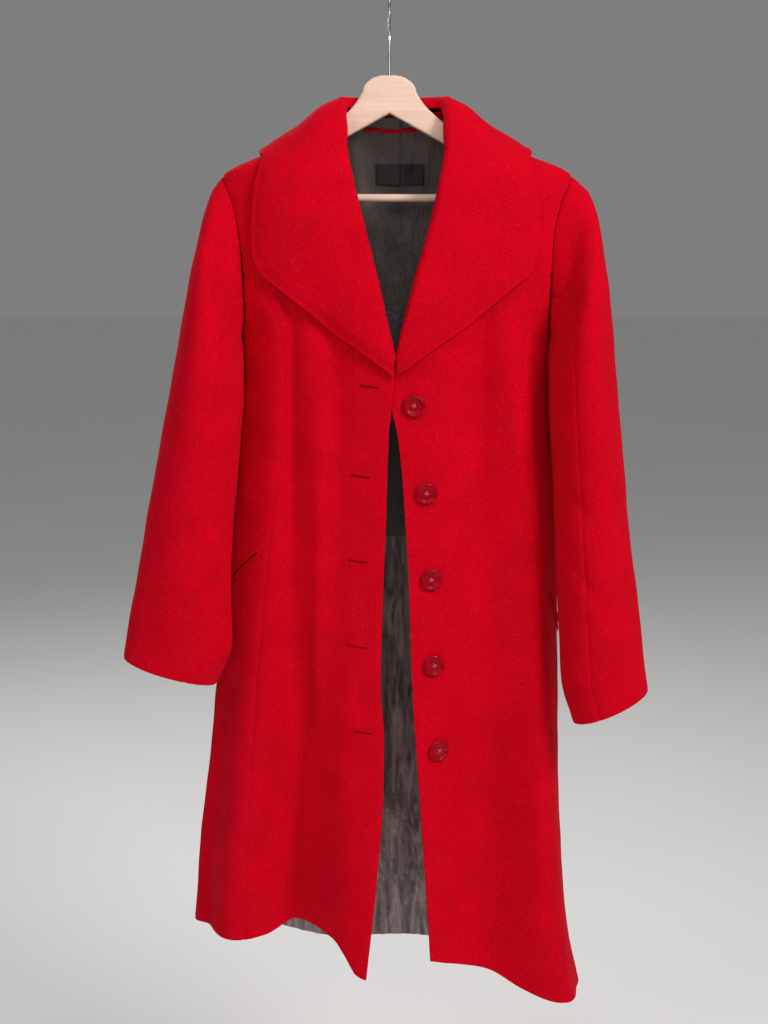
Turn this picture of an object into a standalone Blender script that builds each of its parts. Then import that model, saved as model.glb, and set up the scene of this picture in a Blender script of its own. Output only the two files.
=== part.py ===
"""Red wool swing coat, open at the front, hanging from a wooden hanger.

Metres, +Z up. The coat faces -Y, and +X is on the viewer's right. The origin is the seat of the
hanger's hook, where a rail carries it. Every piece of cloth is a wall of its real thickness, laid
out on one body surface: a ring of angles round the coat, from 0 at the centre front through 90 at
the viewer's right side to 180 at the centre back, and a level, which is the height at the side.
"""

import math
from collections import namedtuple

import bmesh
import bpy
from mathutils import Matrix, Vector

# Cloth and seams
WOOL = 0.0025
SATIN = 0.0008
SEAM_GAP = 0.0003
LAY_GAP = 0.0005

# Body
CENTRE_X = 0.007
NECK_LEVEL = -0.136
FRONT_NECK_LEVEL = -0.146
SHOULDER_LEVEL = -0.210
PRINCESS_TOP = -0.322
ARMPIT_LEVEL = -0.405
HEM_LEVEL = -1.140
SIDE_SEAM = 90.0
CENTRE_BACK = 180.0
PANEL_LEVELS = (
    NECK_LEVEL, FRONT_NECK_LEVEL, -0.160, -0.182, SHOULDER_LEVEL, -0.223, -0.243, -0.268, -0.296,
    PRINCESS_TOP, -0.346, -0.375, -0.394, ARMPIT_LEVEL, -0.424, -0.456, -0.505, -0.565, -0.630,
    -0.700, -0.775, -0.850, -0.925, -1.000, -1.070, HEM_LEVEL,
)

# Half widths from the coat's centre line, and how far the front and back stand from the hanger.
Section = namedtuple("Section", "level left right front back")
SECTIONS = (
    Section(NECK_LEVEL, 0.063, 0.060, 0.024, 0.024),
    Section(-0.160, 0.103, 0.100, 0.034, 0.034),
    Section(-0.182, 0.145, 0.144, 0.043, 0.042),
    Section(SHOULDER_LEVEL, 0.1990, 0.2030, 0.051, 0.048),
    Section(-0.240, 0.206, 0.211, 0.056, 0.052),
    Section(-0.300, 0.208, 0.211, 0.062, 0.054),
    Section(-0.350, 0.197, 0.198, 0.065, 0.053),
    Section(ARMPIT_LEVEL, 0.1735, 0.1770, 0.067, 0.052),
    Section(-0.500, 0.181, 0.1815, 0.064, 0.048),
    Section(-0.610, 0.195, 0.1905, 0.064, 0.046),
    Section(-0.750, 0.211, 0.1975, 0.070, 0.050),
    Section(-0.910, 0.2275, 0.2040, 0.077, 0.055),
    Section(-1.050, 0.2445, 0.2155, 0.083, 0.058),
    Section(HEM_LEVEL, 0.2515, 0.2335, 0.086, 0.060),
)

# Where the roll line and the front edges lie, measured from the centre line towards each side.
Edge = namedtuple("Edge", "level left right")
FRONT_EDGES = (
    Edge(NECK_LEVEL, 0.0630, 0.0600),
    Edge(-0.150, 0.0620, 0.0605),
    Edge(-0.200, 0.0530, 0.0540),
    Edge(-0.255, 0.0400, 0.0430),
    Edge(-0.323, 0.0230, 0.0240),
    Edge(-0.394, 0.0070, 0.0065),
    Edge(-0.415, 0.0020, 0.0010),
    Edge(-0.440, 0.0020, -0.0070),
    Edge(-0.475, 0.0050, -0.0040),
    Edge(-0.501, 0.0075, 0.0020),
    Edge(-0.553, 0.0095, 0.0080),
    Edge(-0.610, 0.0110, 0.0120),
    Edge(-0.680, 0.0140, 0.0160),
    Edge(-0.790, 0.0170, 0.0195),
    Edge(-0.860, 0.0130, 0.0235),
    Edge(-0.920, 0.0140, 0.0280),
    Edge(-1.020, 0.0210, 0.0350),
    Edge(HEM_LEVEL, 0.0330, 0.0430),
)
LAPEL_BOTTOM = -0.425
ROLL_INSET = 0.0040

# Distances of the armhole and of the princess seams from the centre line.
Seam = namedtuple("Seam", "level armhole_left armhole_right front_left front_right back")
SEAMS = (
    Seam(NECK_LEVEL, 0.0600, 0.0600, 0.0600, 0.0600, 0.042),
    Seam(-0.175, 0.1350, 0.1350, 0.1300, 0.1300, 0.080),
    Seam(SHOULDER_LEVEL, 0.1985, 0.2025, 0.1900, 0.1900, 0.108),
    Seam(-0.240, 0.1870, 0.1900, 0.1820, 0.1820, 0.115),
    Seam(-0.270, 0.1800, 0.1820, 0.1750, 0.1750, 0.117),
    Seam(-0.300, 0.1760, 0.1790, 0.1730, 0.1768, 0.117),
    Seam(PRINCESS_TOP, 0.1745, 0.1785, 0.1732, 0.1772, 0.116),
    Seam(-0.346, 0.1740, 0.1780, 0.1480, 0.1680, 0.114),
    Seam(-0.375, 0.1737, 0.1775, 0.1350, 0.1560, 0.111),
    Seam(ARMPIT_LEVEL, 0.1735, 0.1770, 0.1300, 0.1440, 0.108),
    Seam(-0.460, 0.1760, 0.1730, 0.1300, 0.1420, 0.103),
    Seam(-0.550, 0.1870, 0.1810, 0.1370, 0.1510, 0.098),
    Seam(-0.620, 0.1960, 0.1870, 0.1450, 0.1600, 0.100),
    Seam(-0.700, 0.2050, 0.1910, 0.1530, 0.1660, 0.106),
    Seam(-0.850, 0.2200, 0.1970, 0.1660, 0.1740, 0.120),
    Seam(HEM_LEVEL, 0.2515, 0.2335, 0.1830, 0.1900, 0.142),
)

# Folds of the skirt: where each runs, how far it stands out (or in) at the hem, and its half width.
Fold = namedtuple("Fold", "name top hem start depth spread")
FOLDS = (
    Fold("left front edge turned out", -3.0, -7.0, -0.76, 0.030, 11.0),
    Fold("left front trough", -23.0, -31.0, -0.33, -0.038, 10.0),
    Fold("left princess ridge", -48.0, -52.0, -0.42, 0.012, 9.0),
    Fold("left side trough", -72.0, -72.0, -0.55, -0.010, 9.0),
    Fold("right front edge", 4.0, 9.0, -0.80, 0.006, 8.0),
    Fold("right front trough", 28.0, 27.0, -0.38, -0.024, 12.0),
    Fold("right side ridge", 58.0, 55.0, -0.42, 0.036, 13.0),
    Fold("right back ridge", 118.0, 122.0, -0.55, 0.016, 12.0),
    Fold("right back trough", 145.0, 146.0, -0.55, -0.014, 11.0),
    Fold("centre back ridge", 170.0, 172.0, -0.60, 0.014, 12.0),
    Fold("centre back trough", -162.0, -160.0, -0.60, -0.012, 10.0),
    Fold("left back ridge", -134.0, -136.0, -0.55, 0.018, 12.0),
    Fold("left back trough", -108.0, -110.0, -0.60, -0.012, 9.0),
)

# Soft swells and hollows of the bodice: where each is deepest, and its half width and half height.
Swell = namedtuple("Swell", "name around level spread height depth")
SWELLS = (
    Swell("left bust hollow", -26.0, -0.450, 9.0, 0.120, -0.0100),
    Swell("left bust ridge", -45.0, -0.440, 10.0, 0.110, 0.0050),
    Swell("right bust hollow", 29.0, -0.480, 11.0, 0.150, -0.0080),
    Swell("right bust ridge", 52.0, -0.470, 11.0, 0.130, 0.0060),
    Swell("left underarm ease", -103.0, -0.458, 10.0, 0.055, 0.0105),
    Swell("right underarm ease", 103.0, -0.485, 10.0, 0.085, 0.0095),
)

# How much lower than the side level the hem hangs round the coat.
Hang = namedtuple("Hang", "around drop")
HEM_HANG = (
    Hang(-180.0, 0.034), Hang(-135.0, 0.010), Hang(-90.0, -0.018), Hang(-60.0, -0.019),
    Hang(-40.0, -0.018), Hang(-31.0, -0.036), Hang(-24.0, -0.038), Hang(-17.0, -0.033),
    Hang(-13.5, -0.018), Hang(-10.0, 0.004), Hang(-5.0, 0.009), Hang(9.0, -0.004),
    Hang(16.0, 0.006), Hang(24.0, 0.018), Hang(32.0, 0.026), Hang(41.0, 0.042),
    Hang(51.0, 0.053), Hang(90.0, 0.066), Hang(135.0, 0.050), Hang(180.0, 0.034),
)

# The button side passes behind the buttonhole side just under the lapels.
TUCK_DEPTH = 0.0060
TUCK_LEVEL = -0.440
TUCK_HEIGHT = 0.045
TUCK_SPREAD = 11.0

# Columns of cells in each body panel
FRONT_CELLS = 8
SIDE_CELLS = 5
BACK_CELLS = 6

# Sleeves: the outer and inner line seen from the front, how far forward each section hangs, and
# half its depth from front to back. Distances across are from the coat's centre line.
Ring = namedtuple("Ring", "step out_x out_z in_x in_z forward depth")
LEFT_SLEEVE = (
    Ring(1.0, 0.2120, -0.228, 0.1770, -0.4040, 0.003, 0.046),
    Ring(2.0, 0.2210, -0.256, 0.1775, -0.4120, 0.008, 0.056),
    Ring(3.0, 0.2310, -0.305, 0.1765, -0.4270, 0.024, 0.063),
    Ring(4.0, 0.2460, -0.385, 0.1760, -0.4600, 0.035, 0.064),
    Ring(5.0, 0.2640, -0.475, 0.1800, -0.5170, 0.042, 0.059),
    Ring(6.0, 0.2840, -0.573, 0.1880, -0.6000, 0.050, 0.052),
    Ring(7.0, 0.3015, -0.668, 0.1930, -0.6880, 0.055, 0.046),
    Ring(8.0, 0.3145, -0.733, 0.1925, -0.7480, 0.058, 0.042),
    Ring(9.0, 0.3190, -0.765, 0.2110, -0.7975, 0.059, 0.038),
)
RIGHT_SLEEVE = (
    Ring(1.0, 0.2230, -0.228, 0.1790, -0.4040, 0.003, 0.046),
    Ring(2.0, 0.2325, -0.254, 0.1790, -0.4120, 0.010, 0.056),
    Ring(3.0, 0.2395, -0.305, 0.1785, -0.4270, 0.026, 0.063),
    Ring(4.0, 0.2490, -0.385, 0.1785, -0.4600, 0.036, 0.064),
    Ring(5.0, 0.2585, -0.480, 0.1810, -0.5200, 0.045, 0.059),
    Ring(6.0, 0.2675, -0.580, 0.1855, -0.6080, 0.056, 0.052),
    Ring(7.0, 0.2815, -0.690, 0.1905, -0.7180, 0.068, 0.046),
    Ring(8.0, 0.2890, -0.758, 0.1945, -0.7900, 0.077, 0.042),
    Ring(9.0, 0.2945, -0.798, 0.2090, -0.8380, 0.082, 0.038),
)
SLEEVE_STEPS = 11
SLEEVE_SEAM_LEVEL = -0.346
SLEEVE_HEAD_X = 0.200

# Collar, from the lapel point round to the centre back: the level and angle of the roll line, the
# outer edge's distance from the centre line (or its angle, past the shoulder) and level, and how far
# the leaf bows out between them.
Station = namedtuple("Station", "step roll_level roll_angle edge_across edge_level bow")
COLLAR = (
    Station(0.0, -0.414, 0.0, 0.001, -0.436, 0.0010),
    Station(1.0, -0.385, 0.0, 0.037, -0.409, 0.0025),
    Station(2.0, -0.345, 0.0, 0.088, -0.372, 0.0035),
    Station(3.0, -0.310, 0.0, 0.128, -0.340, 0.0040),
    Station(4.0, -0.275, 0.0, 0.153, -0.316, 0.0055),
    Station(5.0, -0.245, 0.0, 0.1615, -0.289, 0.0065),
    Station(6.0, -0.215, 0.0, 0.160, -0.251, 0.0070),
    Station(7.0, -0.187, 0.0, 0.157, -0.219, 0.0060),
    Station(8.0, -0.160, 0.0, 0.154, -0.197, 0.0045),
    Station(9.0, NECK_LEVEL, SIDE_SEAM, SIDE_SEAM, -0.190, 0.0040),
    Station(10.0, NECK_LEVEL, 112.0, 122.0, -0.205, 0.0050),
    Station(11.0, NECK_LEVEL, 135.0, 144.0, -0.224, 0.0060),
    Station(12.0, NECK_LEVEL, 158.0, 163.0, -0.238, 0.0070),
    Station(13.0, NECK_LEVEL, CENTRE_BACK, CENTRE_BACK, -0.242, 0.0070),
)
SHOULDER_STEP = 9.0
COLLAR_STEPS = 18
LEAF_CELLS = 5
ROLL_RADIUS = 0.0052
ROLL_RISE = 0.0135
LEAF_LIFT = 0.0088
LEAF_LIFT_END = 0.62
LEAF_LIFT_SPAN = 0.45
STAND_DEPTH = 0.012
COLLAR_LIFT = 0.0020
NECK_GAP = 0.003

# Lining of the back, with the label and the hanging loop sewn to it
LINING_GAP = 0.0015
LINING_SEAT = 0.0004
LABEL_WIDTH = 0.058
LABEL_HEIGHT = 0.025
LABEL_X = 0.0055
LABEL_TOP = -0.192
LOOP_LENGTH = 0.072
LOOP_WIDTH = 0.0045
LOOP_LEVEL = -0.1500
LOOP_SAG = 0.0015
Patch = namedtuple("Patch", "name middle_x width top height cells sag thickness")

# Slanted welt pockets: angle and level of the inner and outer end
WELT_HEIGHT = 0.015
WELT_THICKNESS = 0.0016
WELT_CELLS = 8
LEFT_WELT = ((-53.0, -0.648), (-84.0, -0.704))
RIGHT_WELT = ((64.0, -0.676), (86.0, -0.716))

# Buttons
BUTTON_DIAMETER = 0.0254
BUTTON_THICKNESS = 0.0042
BUTTON_COUNT = 5
BUTTON_TOP = -0.469
BUTTON_PITCH = 0.1015
BUTTON_INSET = 0.026
BUTTON_HOLE_RADIUS = 0.0011
BUTTON_HOLE_SPREAD = 0.0030
BUTTON_LIFT = 0.0009
BUTTON_SIDES = 14

# Hanger
WOOD_THICKNESS = 0.012
WOOD_EDGE = 0.0012
WOOD_TOP = -0.098
WOOD_APEX = -0.140
ARM_SEATS = (0.095, 0.118, 0.141)
ARM_END = 0.180
ARM_END_LEVEL = -0.2170
ARM_SETTLE = 0.0011
BAR_RADIUS = 0.0045
BAR_LEVEL = -0.2343
BAR_HALF = 0.168
WIRE_RADIUS = 0.0017
HOOK_RADIUS = 0.020
STEM_FOOT = -0.118
STEM_TOP = -0.062
FIT_GAP = 0.0003


def clear_scene():
    """Remove whatever the file opened with."""
    for thing in list(bpy.data.objects):
        bpy.data.objects.remove(thing, do_unlink=True)


def make_collection(name):
    """A collection linked to the scene."""
    made = bpy.data.collections.new(name)
    bpy.context.scene.collection.children.link(made)
    return made


def make_material(name, colour, roughness, metallic=0.0):
    """A Principled material of one colour."""
    made = bpy.data.materials.new(name)
    made.use_nodes = True
    shader = made.node_tree.nodes["Principled BSDF"]
    shader.inputs["Base Color"].default_value = (*colour, 1.0)
    shader.inputs["Roughness"].default_value = roughness
    shader.inputs["Metallic"].default_value = metallic
    return made


def along(rows, column, at):
    """One column of a table at a value of its first column, on a smooth curve with no overshoot."""
    first = rows[0]._fields[0]
    sign = 1.0 if getattr(rows[-1], first) > getattr(rows[0], first) else -1.0
    keys = [sign * getattr(row, first) for row in rows]
    values = [getattr(row, column) for row in rows]
    at = min(max(sign * at, keys[0]), keys[-1])
    i = max(k for k in range(len(keys) - 1) if keys[k] <= at)
    rises = [(values[k + 1] - values[k]) / (keys[k + 1] - keys[k]) for k in range(len(keys) - 1)]

    def slope(k):
        if k == 0 or k == len(keys) - 1:
            return rises[min(k, len(rises) - 1)]
        before, after = rises[k - 1], rises[k]
        return 0.0 if before * after <= 0.0 else 2.0 * before * after / (before + after)

    span = keys[i + 1] - keys[i]
    t = (at - keys[i]) / span
    return (
        values[i] * (1 - 3 * t * t + 2 * t**3)
        + values[i + 1] * (3 * t * t - 2 * t**3)
        + span * slope(i) * (t - 2 * t * t + t**3)
        + span * slope(i + 1) * (t**3 - t * t)
    )


def ease(value):
    """A smooth step from 0 to 1."""
    value = min(max(value, 0.0), 1.0)
    return value * value * (3.0 - 2.0 * value)


def wrapped(angle):
    """An angle brought between -180 and 180 degrees."""
    return (angle + 180.0) % 360.0 - 180.0


def fold_push(around, level):
    """How far the folds and swells move the cloth outwards."""
    push = 0.0
    for fold in FOLDS:
        share = ease((fold.start - level) / (fold.start - HEM_LEVEL))
        centre = fold.top + (fold.hem - fold.top) * share
        away = wrapped(around - centre) / fold.spread
        push += fold.depth * share * math.exp(-away * away)
    for swell in SWELLS:
        across = wrapped(around - swell.around) / swell.spread
        up = (level - swell.level) / swell.height
        push += swell.depth * math.exp(-across * across - up * up)
    return push


def tuck(around, level):
    """How far the button side's front edge lies back under the other front."""
    if wrapped(around) > 90.0 or level > LAPEL_BOTTOM + TUCK_HEIGHT:
        return 0.0
    up = (level - TUCK_LEVEL) / TUCK_HEIGHT
    across = around / TUCK_SPREAD
    return TUCK_DEPTH * math.exp(-up * up - across * across)


def body_point(around, level, button_side=False):
    """A point on the outside of the coat."""
    angle = math.radians(around)
    sine, cosine = math.sin(angle), math.cos(angle)
    half = along(SECTIONS, "right" if sine > 0.0 else "left", level)
    depth = along(SECTIONS, "front" if cosine > 0.0 else "back", level)
    push = fold_push(around, level)
    outward = Vector((depth * sine, -half * cosine)).normalized()
    hang = ease((ARMPIT_LEVEL - level) / (ARMPIT_LEVEL - HEM_LEVEL))
    x = CENTRE_X + half * sine + outward.x * push
    y = -depth * cosine + outward.y * push
    if button_side:
        y += tuck(around, level)
    return Vector((x, y, level - along(HEM_HANG, "drop", wrapped(around)) * hang))


def body_normal(around, level, button_side=False):
    """The outward direction of the coat's surface at a point."""
    turn, step = 0.8, 0.0015
    across = body_point(around + turn, level, button_side) - body_point(around - turn, level, button_side)
    lower = max(level - step, HEM_LEVEL)
    upper = min(level + step, NECK_LEVEL)
    upward = body_point(around, upper, button_side) - body_point(around, lower, button_side)
    return across.cross(upward).normalized()


def side_angle(distance, level, side, back=False):
    """The angle whose point lies that far from the centre line, on one side of the coat."""
    half = along(SECTIONS, "right" if side > 0 else "left", level)
    angle = math.degrees(math.asin(min(max(distance / half, -1.0), 1.0)))
    return side * (180.0 - angle if back else angle)


def armhole_angle(level, side, back=False):
    """The angle of the armhole, or of the shoulder or side seam where there is no armhole."""
    if level >= SHOULDER_LEVEL or level <= ARMPIT_LEVEL:
        return side * SIDE_SEAM
    column = "armhole_right" if side > 0 else "armhole_left"
    return side_angle(along(SEAMS, column, level), level, side, back)


def princess_angle(level, side, back=False):
    """The angle of a princess seam."""
    column = "back" if back else ("front_right" if side > 0 else "front_left")
    return side_angle(along(SEAMS, column, level), level, side, back)


def edge_angle(level, side):
    """The angle of a front edge, set back a little from the roll line above the lapel's foot."""
    distance = along(FRONT_EDGES, "right" if side > 0 else "left", level)
    if level > LAPEL_BOTTOM:
        distance += ROLL_INSET
    return side_angle(distance, level, side)


def nudged(around, level, distance):
    """An angle moved along the cloth by a distance."""
    reach = (body_point(around + 0.5, level) - body_point(around - 0.5, level)).length
    return around + distance / max(reach, 1e-6)


def wall(name, outer, inner, material, collection):
    """A closed wall between two grids of points, which have the same rows and columns."""
    rows, columns = len(outer), len(outer[0])
    shape = bmesh.new()
    faces = [[[shape.verts.new(p) for p in row] for row in grid] for grid in (outer, inner)]
    front, back = faces
    for i in range(rows - 1):
        for j in range(columns - 1):
            shape.faces.new((front[i][j], front[i + 1][j], front[i + 1][j + 1], front[i][j + 1]))
            shape.faces.new((back[i][j], back[i][j + 1], back[i + 1][j + 1], back[i + 1][j]))
    for i in range(rows - 1):
        shape.faces.new((front[i][0], back[i][0], back[i + 1][0], front[i + 1][0]))
        shape.faces.new((front[i][-1], front[i + 1][-1], back[i + 1][-1], back[i][-1]))
    for j in range(columns - 1):
        shape.faces.new((front[0][j], front[0][j + 1], back[0][j + 1], back[0][j]))
        shape.faces.new((front[-1][j], back[-1][j], back[-1][j + 1], front[-1][j + 1]))
    bmesh.ops.triangulate(shape, faces=shape.faces[:])
    bmesh.ops.recalc_face_normals(shape, faces=shape.faces[:])
    mesh = bpy.data.meshes.new(name)
    shape.to_mesh(mesh)
    shape.free()
    mesh.shade_smooth()
    mesh.set_sharp_from_angle(angle=math.radians(50))
    mesh.materials.append(material)
    made = bpy.data.objects.new(name, mesh)
    collection.objects.link(made)
    return made


def body_grid(levels, start, end, cells, outside, thickness, button_side=False):
    """Outer and inner points of cloth between two seams, moved out from the body's surface."""
    outer, inner = [], []
    for level in levels:
        low, high = start(level), end(level)
        if low > high:
            low, high = high, low
        low = nudged(low, level, SEAM_GAP / 2)
        high = nudged(high, level, -SEAM_GAP / 2)
        outer_row, inner_row = [], []
        for j in range(cells + 1):
            around = low + (high - low) * j / cells
            point = body_point(around, level, button_side)
            normal = body_normal(around, level, button_side)
            outer_row.append(point + normal * outside)
            inner_row.append(point + normal * (outside - thickness))
        outer.append(outer_row)
        inner.append(inner_row)
    return outer, inner


def make_body_panels(wool, collection):
    """Fronts, side fronts, side backs and backs, each between its seams."""
    for side, word in ((-1, "left"), (1, "right")):
        whole = [v for v in PANEL_LEVELS if v <= FRONT_NECK_LEVEL]
        from_princess = [v for v in PANEL_LEVELS if v <= PRINCESS_TOP]

        def front_outer(level, side=side):
            return armhole_angle(level, side) if level > PRINCESS_TOP else princess_angle(level, side)

        def front_inner(level, side=side):
            return edge_angle(level, side)

        def front_princess(level, side=side):
            return princess_angle(level, side)

        def back_princess(level, side=side):
            return princess_angle(level, side, back=True)

        def front_armhole(level, side=side):
            return armhole_angle(level, side)

        def back_armhole(level, side=side):
            return armhole_angle(level, side, back=True)

        def centre_back(level, side=side):
            return side * CENTRE_BACK

        pieces = (
            (f"front_{word}", whole, front_inner, front_outer, FRONT_CELLS, side > 0),
            (f"side_front_{word}", from_princess, front_princess, front_armhole, SIDE_CELLS, False),
            (f"side_back_{word}", PANEL_LEVELS, back_armhole, back_princess, SIDE_CELLS, False),
            (f"back_{word}", PANEL_LEVELS, back_princess, centre_back, BACK_CELLS, False),
        )
        for name, levels, start, end, cells, buttons in pieces:
            outer, inner = body_grid(levels, start, end, cells, 0.0, WOOL, buttons)
            wall(name, outer, inner, wool, collection)


def armhole_point(level, side, back):
    """A point of the armhole, the direction into the hole and the shell's outward direction."""
    around = armhole_angle(level, side, back)
    point = body_point(around, level)
    normal = body_normal(around, level)
    middle = Vector((CENTRE_X + side * SLEEVE_HEAD_X, 0.0, (SHOULDER_LEVEL + ARMPIT_LEVEL) / 2))
    into = middle - point
    into = (into - normal * into.dot(normal)).normalized()
    return point + into * 1.5 * SEAM_GAP, into


def sleeve_ring(rows, step, turn, side):
    """A point on a sleeve's outside."""
    outer = Vector((CENTRE_X + side * along(rows, "out_x", step), 0.0, along(rows, "out_z", step)))
    inner = Vector((CENTRE_X + side * along(rows, "in_x", step), 0.0, along(rows, "in_z", step)))
    angle = math.radians(turn)
    point = (outer + inner) / 2 + (outer - inner) / 2 * math.cos(angle)
    point.y = -along(rows, "forward", step) - along(rows, "depth", step) * math.sin(angle)
    return point


def sleeve_columns():
    """The armhole's levels from the back underarm over the shoulder to the front underarm."""
    levels = [v for v in PANEL_LEVELS if ARMPIT_LEVEL <= v <= SHOULDER_LEVEL]
    middle = (SHOULDER_LEVEL + ARMPIT_LEVEL) / 2
    half = (SHOULDER_LEVEL - ARMPIT_LEVEL) / 2
    columns = []
    for level in levels:
        turn = math.degrees(math.acos(min(max((level - middle) / half, -1.0), 1.0)))
        columns.append((level, turn))
    back = [(level, -turn, True) for level, turn in columns[:0:-1]]
    return back + [(level, turn, False) for level, turn in columns]


def make_sleeves(wool, collection):
    """Two-piece sleeves: an upper and an under sleeve on each side, in step with the armhole."""
    columns = sleeve_columns()
    for side, word, rows in ((-1, "left", LEFT_SLEEVE), (1, "right", RIGHT_SLEEVE)):
        last = rows[-1].step
        steps = [1.0 + (last - 1.0) * k / SLEEVE_STEPS for k in range(SLEEVE_STEPS + 1)]
        starts = [armhole_point(level, side, back) for level, _, back in columns]
        first = [sleeve_ring(rows, 1.0, turn, side) for _, turn, _ in columns]
        grid = [
            [point for point, _ in starts],
            [point.lerp(end, 0.5) for (point, _), end in zip(starts, first)],
        ]
        grid += [[sleeve_ring(rows, step, turn, side) for _, turn, _ in columns] for step in steps]
        normals = closed_normals(grid, side)
        for normal, (_, into) in zip(normals[0], starts):
            normal -= into * max(normal.dot(into), 0.0)
            normal.normalize()
        inner = [
            [point - normal * WOOL for point, normal in zip(row, line)]
            for row, line in zip(grid, normals)
        ]
        levels = [level for level, _, _ in columns]
        low = levels.index(SLEEVE_SEAM_LEVEL)
        high = len(levels) - 1 - low
        upper = list(range(low, high + 1))
        under = list(range(high, len(levels))) + list(range(1, low + 1))
        for name, picks in (("upper_sleeve", upper), ("under_sleeve", under)):
            faces = []
            for source in (grid, inner):
                rows_of_points = [[row[k].copy() for k in picks] for row in source]
                for line in rows_of_points:
                    line[0] = line[0].lerp(line[1], SEAM_GAP / (line[1] - line[0]).length)
                    line[-1] = line[-1].lerp(line[-2], SEAM_GAP / (line[-2] - line[-1]).length)
                faces.append(rows_of_points)
            wall(f"{name}_{word}", faces[0], faces[1], wool, collection)


def closed_normals(grid, side):
    """Outward directions of a tube of points whose first and last columns coincide."""
    rows, columns = len(grid), len(grid[0])
    normals = []
    for i in range(rows):
        line = []
        for j in range(columns):
            before = grid[i][j - 1] if j > 0 else grid[i][-2]
            after = grid[i][j + 1] if j < columns - 1 else grid[i][1]
            down = grid[min(i + 1, rows - 1)][j] - grid[max(i - 1, 0)][j]
            line.append((down.cross(after - before) * -side).normalized())
        normals.append(line)
    return normals


def roll_angle(step, side):
    """The angle and level of the roll line, up the front edge and then round the neck."""
    level = along(COLLAR, "roll_level", step)
    if step >= SHOULDER_STEP:
        return side * along(COLLAR, "roll_angle", step), NECK_LEVEL
    distance = along(FRONT_EDGES, "right" if side > 0 else "left", level)
    return side_angle(distance, level, side), level


def collar_edge(step, side):
    """The angle and level of the collar's outer edge."""
    level = along(COLLAR, "edge_level", step)
    if step >= SHOULDER_STEP:
        return side * along(COLLAR[int(SHOULDER_STEP):], "edge_across", step), level
    last = COLLAR[int(SHOULDER_STEP) - 1]
    angle = side_angle(along(COLLAR[:int(SHOULDER_STEP)], "edge_across", min(step, last.step)), level, side)
    share = max(step - last.step, 0.0)
    return angle + (side * SIDE_SEAM - angle) * share, level


def collar_section(step, side):
    """The collar's outside from the foot of its stand, over the roll, to its outer edge."""
    around, level = roll_angle(step, side)
    edge_around, edge_level = collar_edge(step, side)
    point = body_point(around, level, side > 0)
    normal = body_normal(around, min(level, NECK_LEVEL - 0.003), side > 0)
    beyond = body_point(
        around + (edge_around - around) * 0.1, level + (edge_level - level) * 0.1, side > 0
    )
    inward = point - beyond
    inward = (inward - normal * inward.dot(normal)).normalized()
    share = ease((step - SHOULDER_STEP + 2.0) / 2.0)
    ring = Vector((normal.x, normal.y, 0.0)).normalized()
    normal = normal.lerp(ring, share).normalized()
    inward = inward.lerp(Vector((0.0, 0.0, 1.0)), share).normalized()
    radius = ROLL_RADIUS
    centre = point + inward * (ROLL_RISE * share - radius) - normal * (WOOL / 2)
    depth = STAND_DEPTH * ease(step / 2.0 + 0.35) * (1.0 - share) + (ROLL_RISE - radius - NECK_GAP) * share
    points = [centre - normal * radius - inward * depth]
    for degrees in (180, 135, 90, 45, 0):
        angle = math.radians(degrees)
        points.append(centre + normal * radius * math.cos(angle) + inward * radius * math.sin(angle))
    rest = COLLAR_LIFT + WOOL
    bow = along(COLLAR, "bow", step)
    for k in range(1, LEAF_CELLS + 1):
        part = k / LEAF_CELLS
        place = around + (edge_around - around) * part
        height = level + (edge_level - level) * part
        offset = radius - WOOL / 2 + (rest - radius + WOOL / 2) * part + bow * math.sin(math.pi * part)
        height = min(height, NECK_LEVEL - 0.002)
        surface = body_point(place, height, side > 0) + body_normal(place, height, side > 0) * offset
        surface.z += LEAF_LIFT * share * ease((LEAF_LIFT_END - part) / LEAF_LIFT_SPAN)
        points.append(surface)
    return points


def grid_normals(grid):
    """Outward directions of a grid of points, from its own rows and columns."""
    rows, columns = len(grid), len(grid[0])
    normals = []
    for i in range(rows):
        line = []
        for j in range(columns):
            down = grid[min(i + 1, rows - 1)][j] - grid[max(i - 1, 0)][j]
            across = grid[i][min(j + 1, columns - 1)] - grid[i][max(j - 1, 0)]
            line.append(down.cross(across).normalized())
        normals.append(line)
    return normals


def make_collar(wool, collection):
    """One wide collar that runs from lapel point to lapel point round the neck."""
    last = COLLAR[-1].step
    steps = [last * k / COLLAR_STEPS for k in range(COLLAR_STEPS + 1)]
    left = [collar_section(step, -1) for step in steps]
    right = [collar_section(step, 1) for step in steps[:-1]]
    grid = left + right[::-1]
    normals = grid_normals(grid)
    inner = [
        [point - normal * WOOL for point, normal in zip(row, lines)]
        for row, lines in zip(grid, normals)
    ]
    return wall("collar", grid, inner, wool, collection)


def make_lining(satin, collection):
    """The back's lining from side seam to side seam, in step with the panels that it lies on."""
    outer, inner = [], []
    for level in PANEL_LEVELS:
        seams = [
            armhole_angle(level, 1, back=True),
            princess_angle(level, 1, back=True),
            CENTRE_BACK,
            princess_angle(level, -1, back=True) + 360.0,
            armhole_angle(level, -1, back=True) + 360.0,
        ]
        cell_counts = (SIDE_CELLS, BACK_CELLS, BACK_CELLS, SIDE_CELLS)
        angles = []
        for start, end, cells in zip(seams, seams[1:], cell_counts):
            angles += [start + (end - start) * j / cells for j in range(cells)]
        gaps = [LINING_GAP] * len(angles)
        if level == NECK_LEVEL:
            gaps = [LINING_SEAT] * len(angles)
        gaps[1] = gaps[-1] = LINING_SEAT
        frames = [lining_frame(around, level, gap) for around, gap in zip(angles[1:], gaps[1:])]
        outer.append([point for point, _ in frames])
        inner.append([point - normal * SATIN for point, normal in frames])
    return wall("back_lining", outer, inner, satin, collection)


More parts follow.
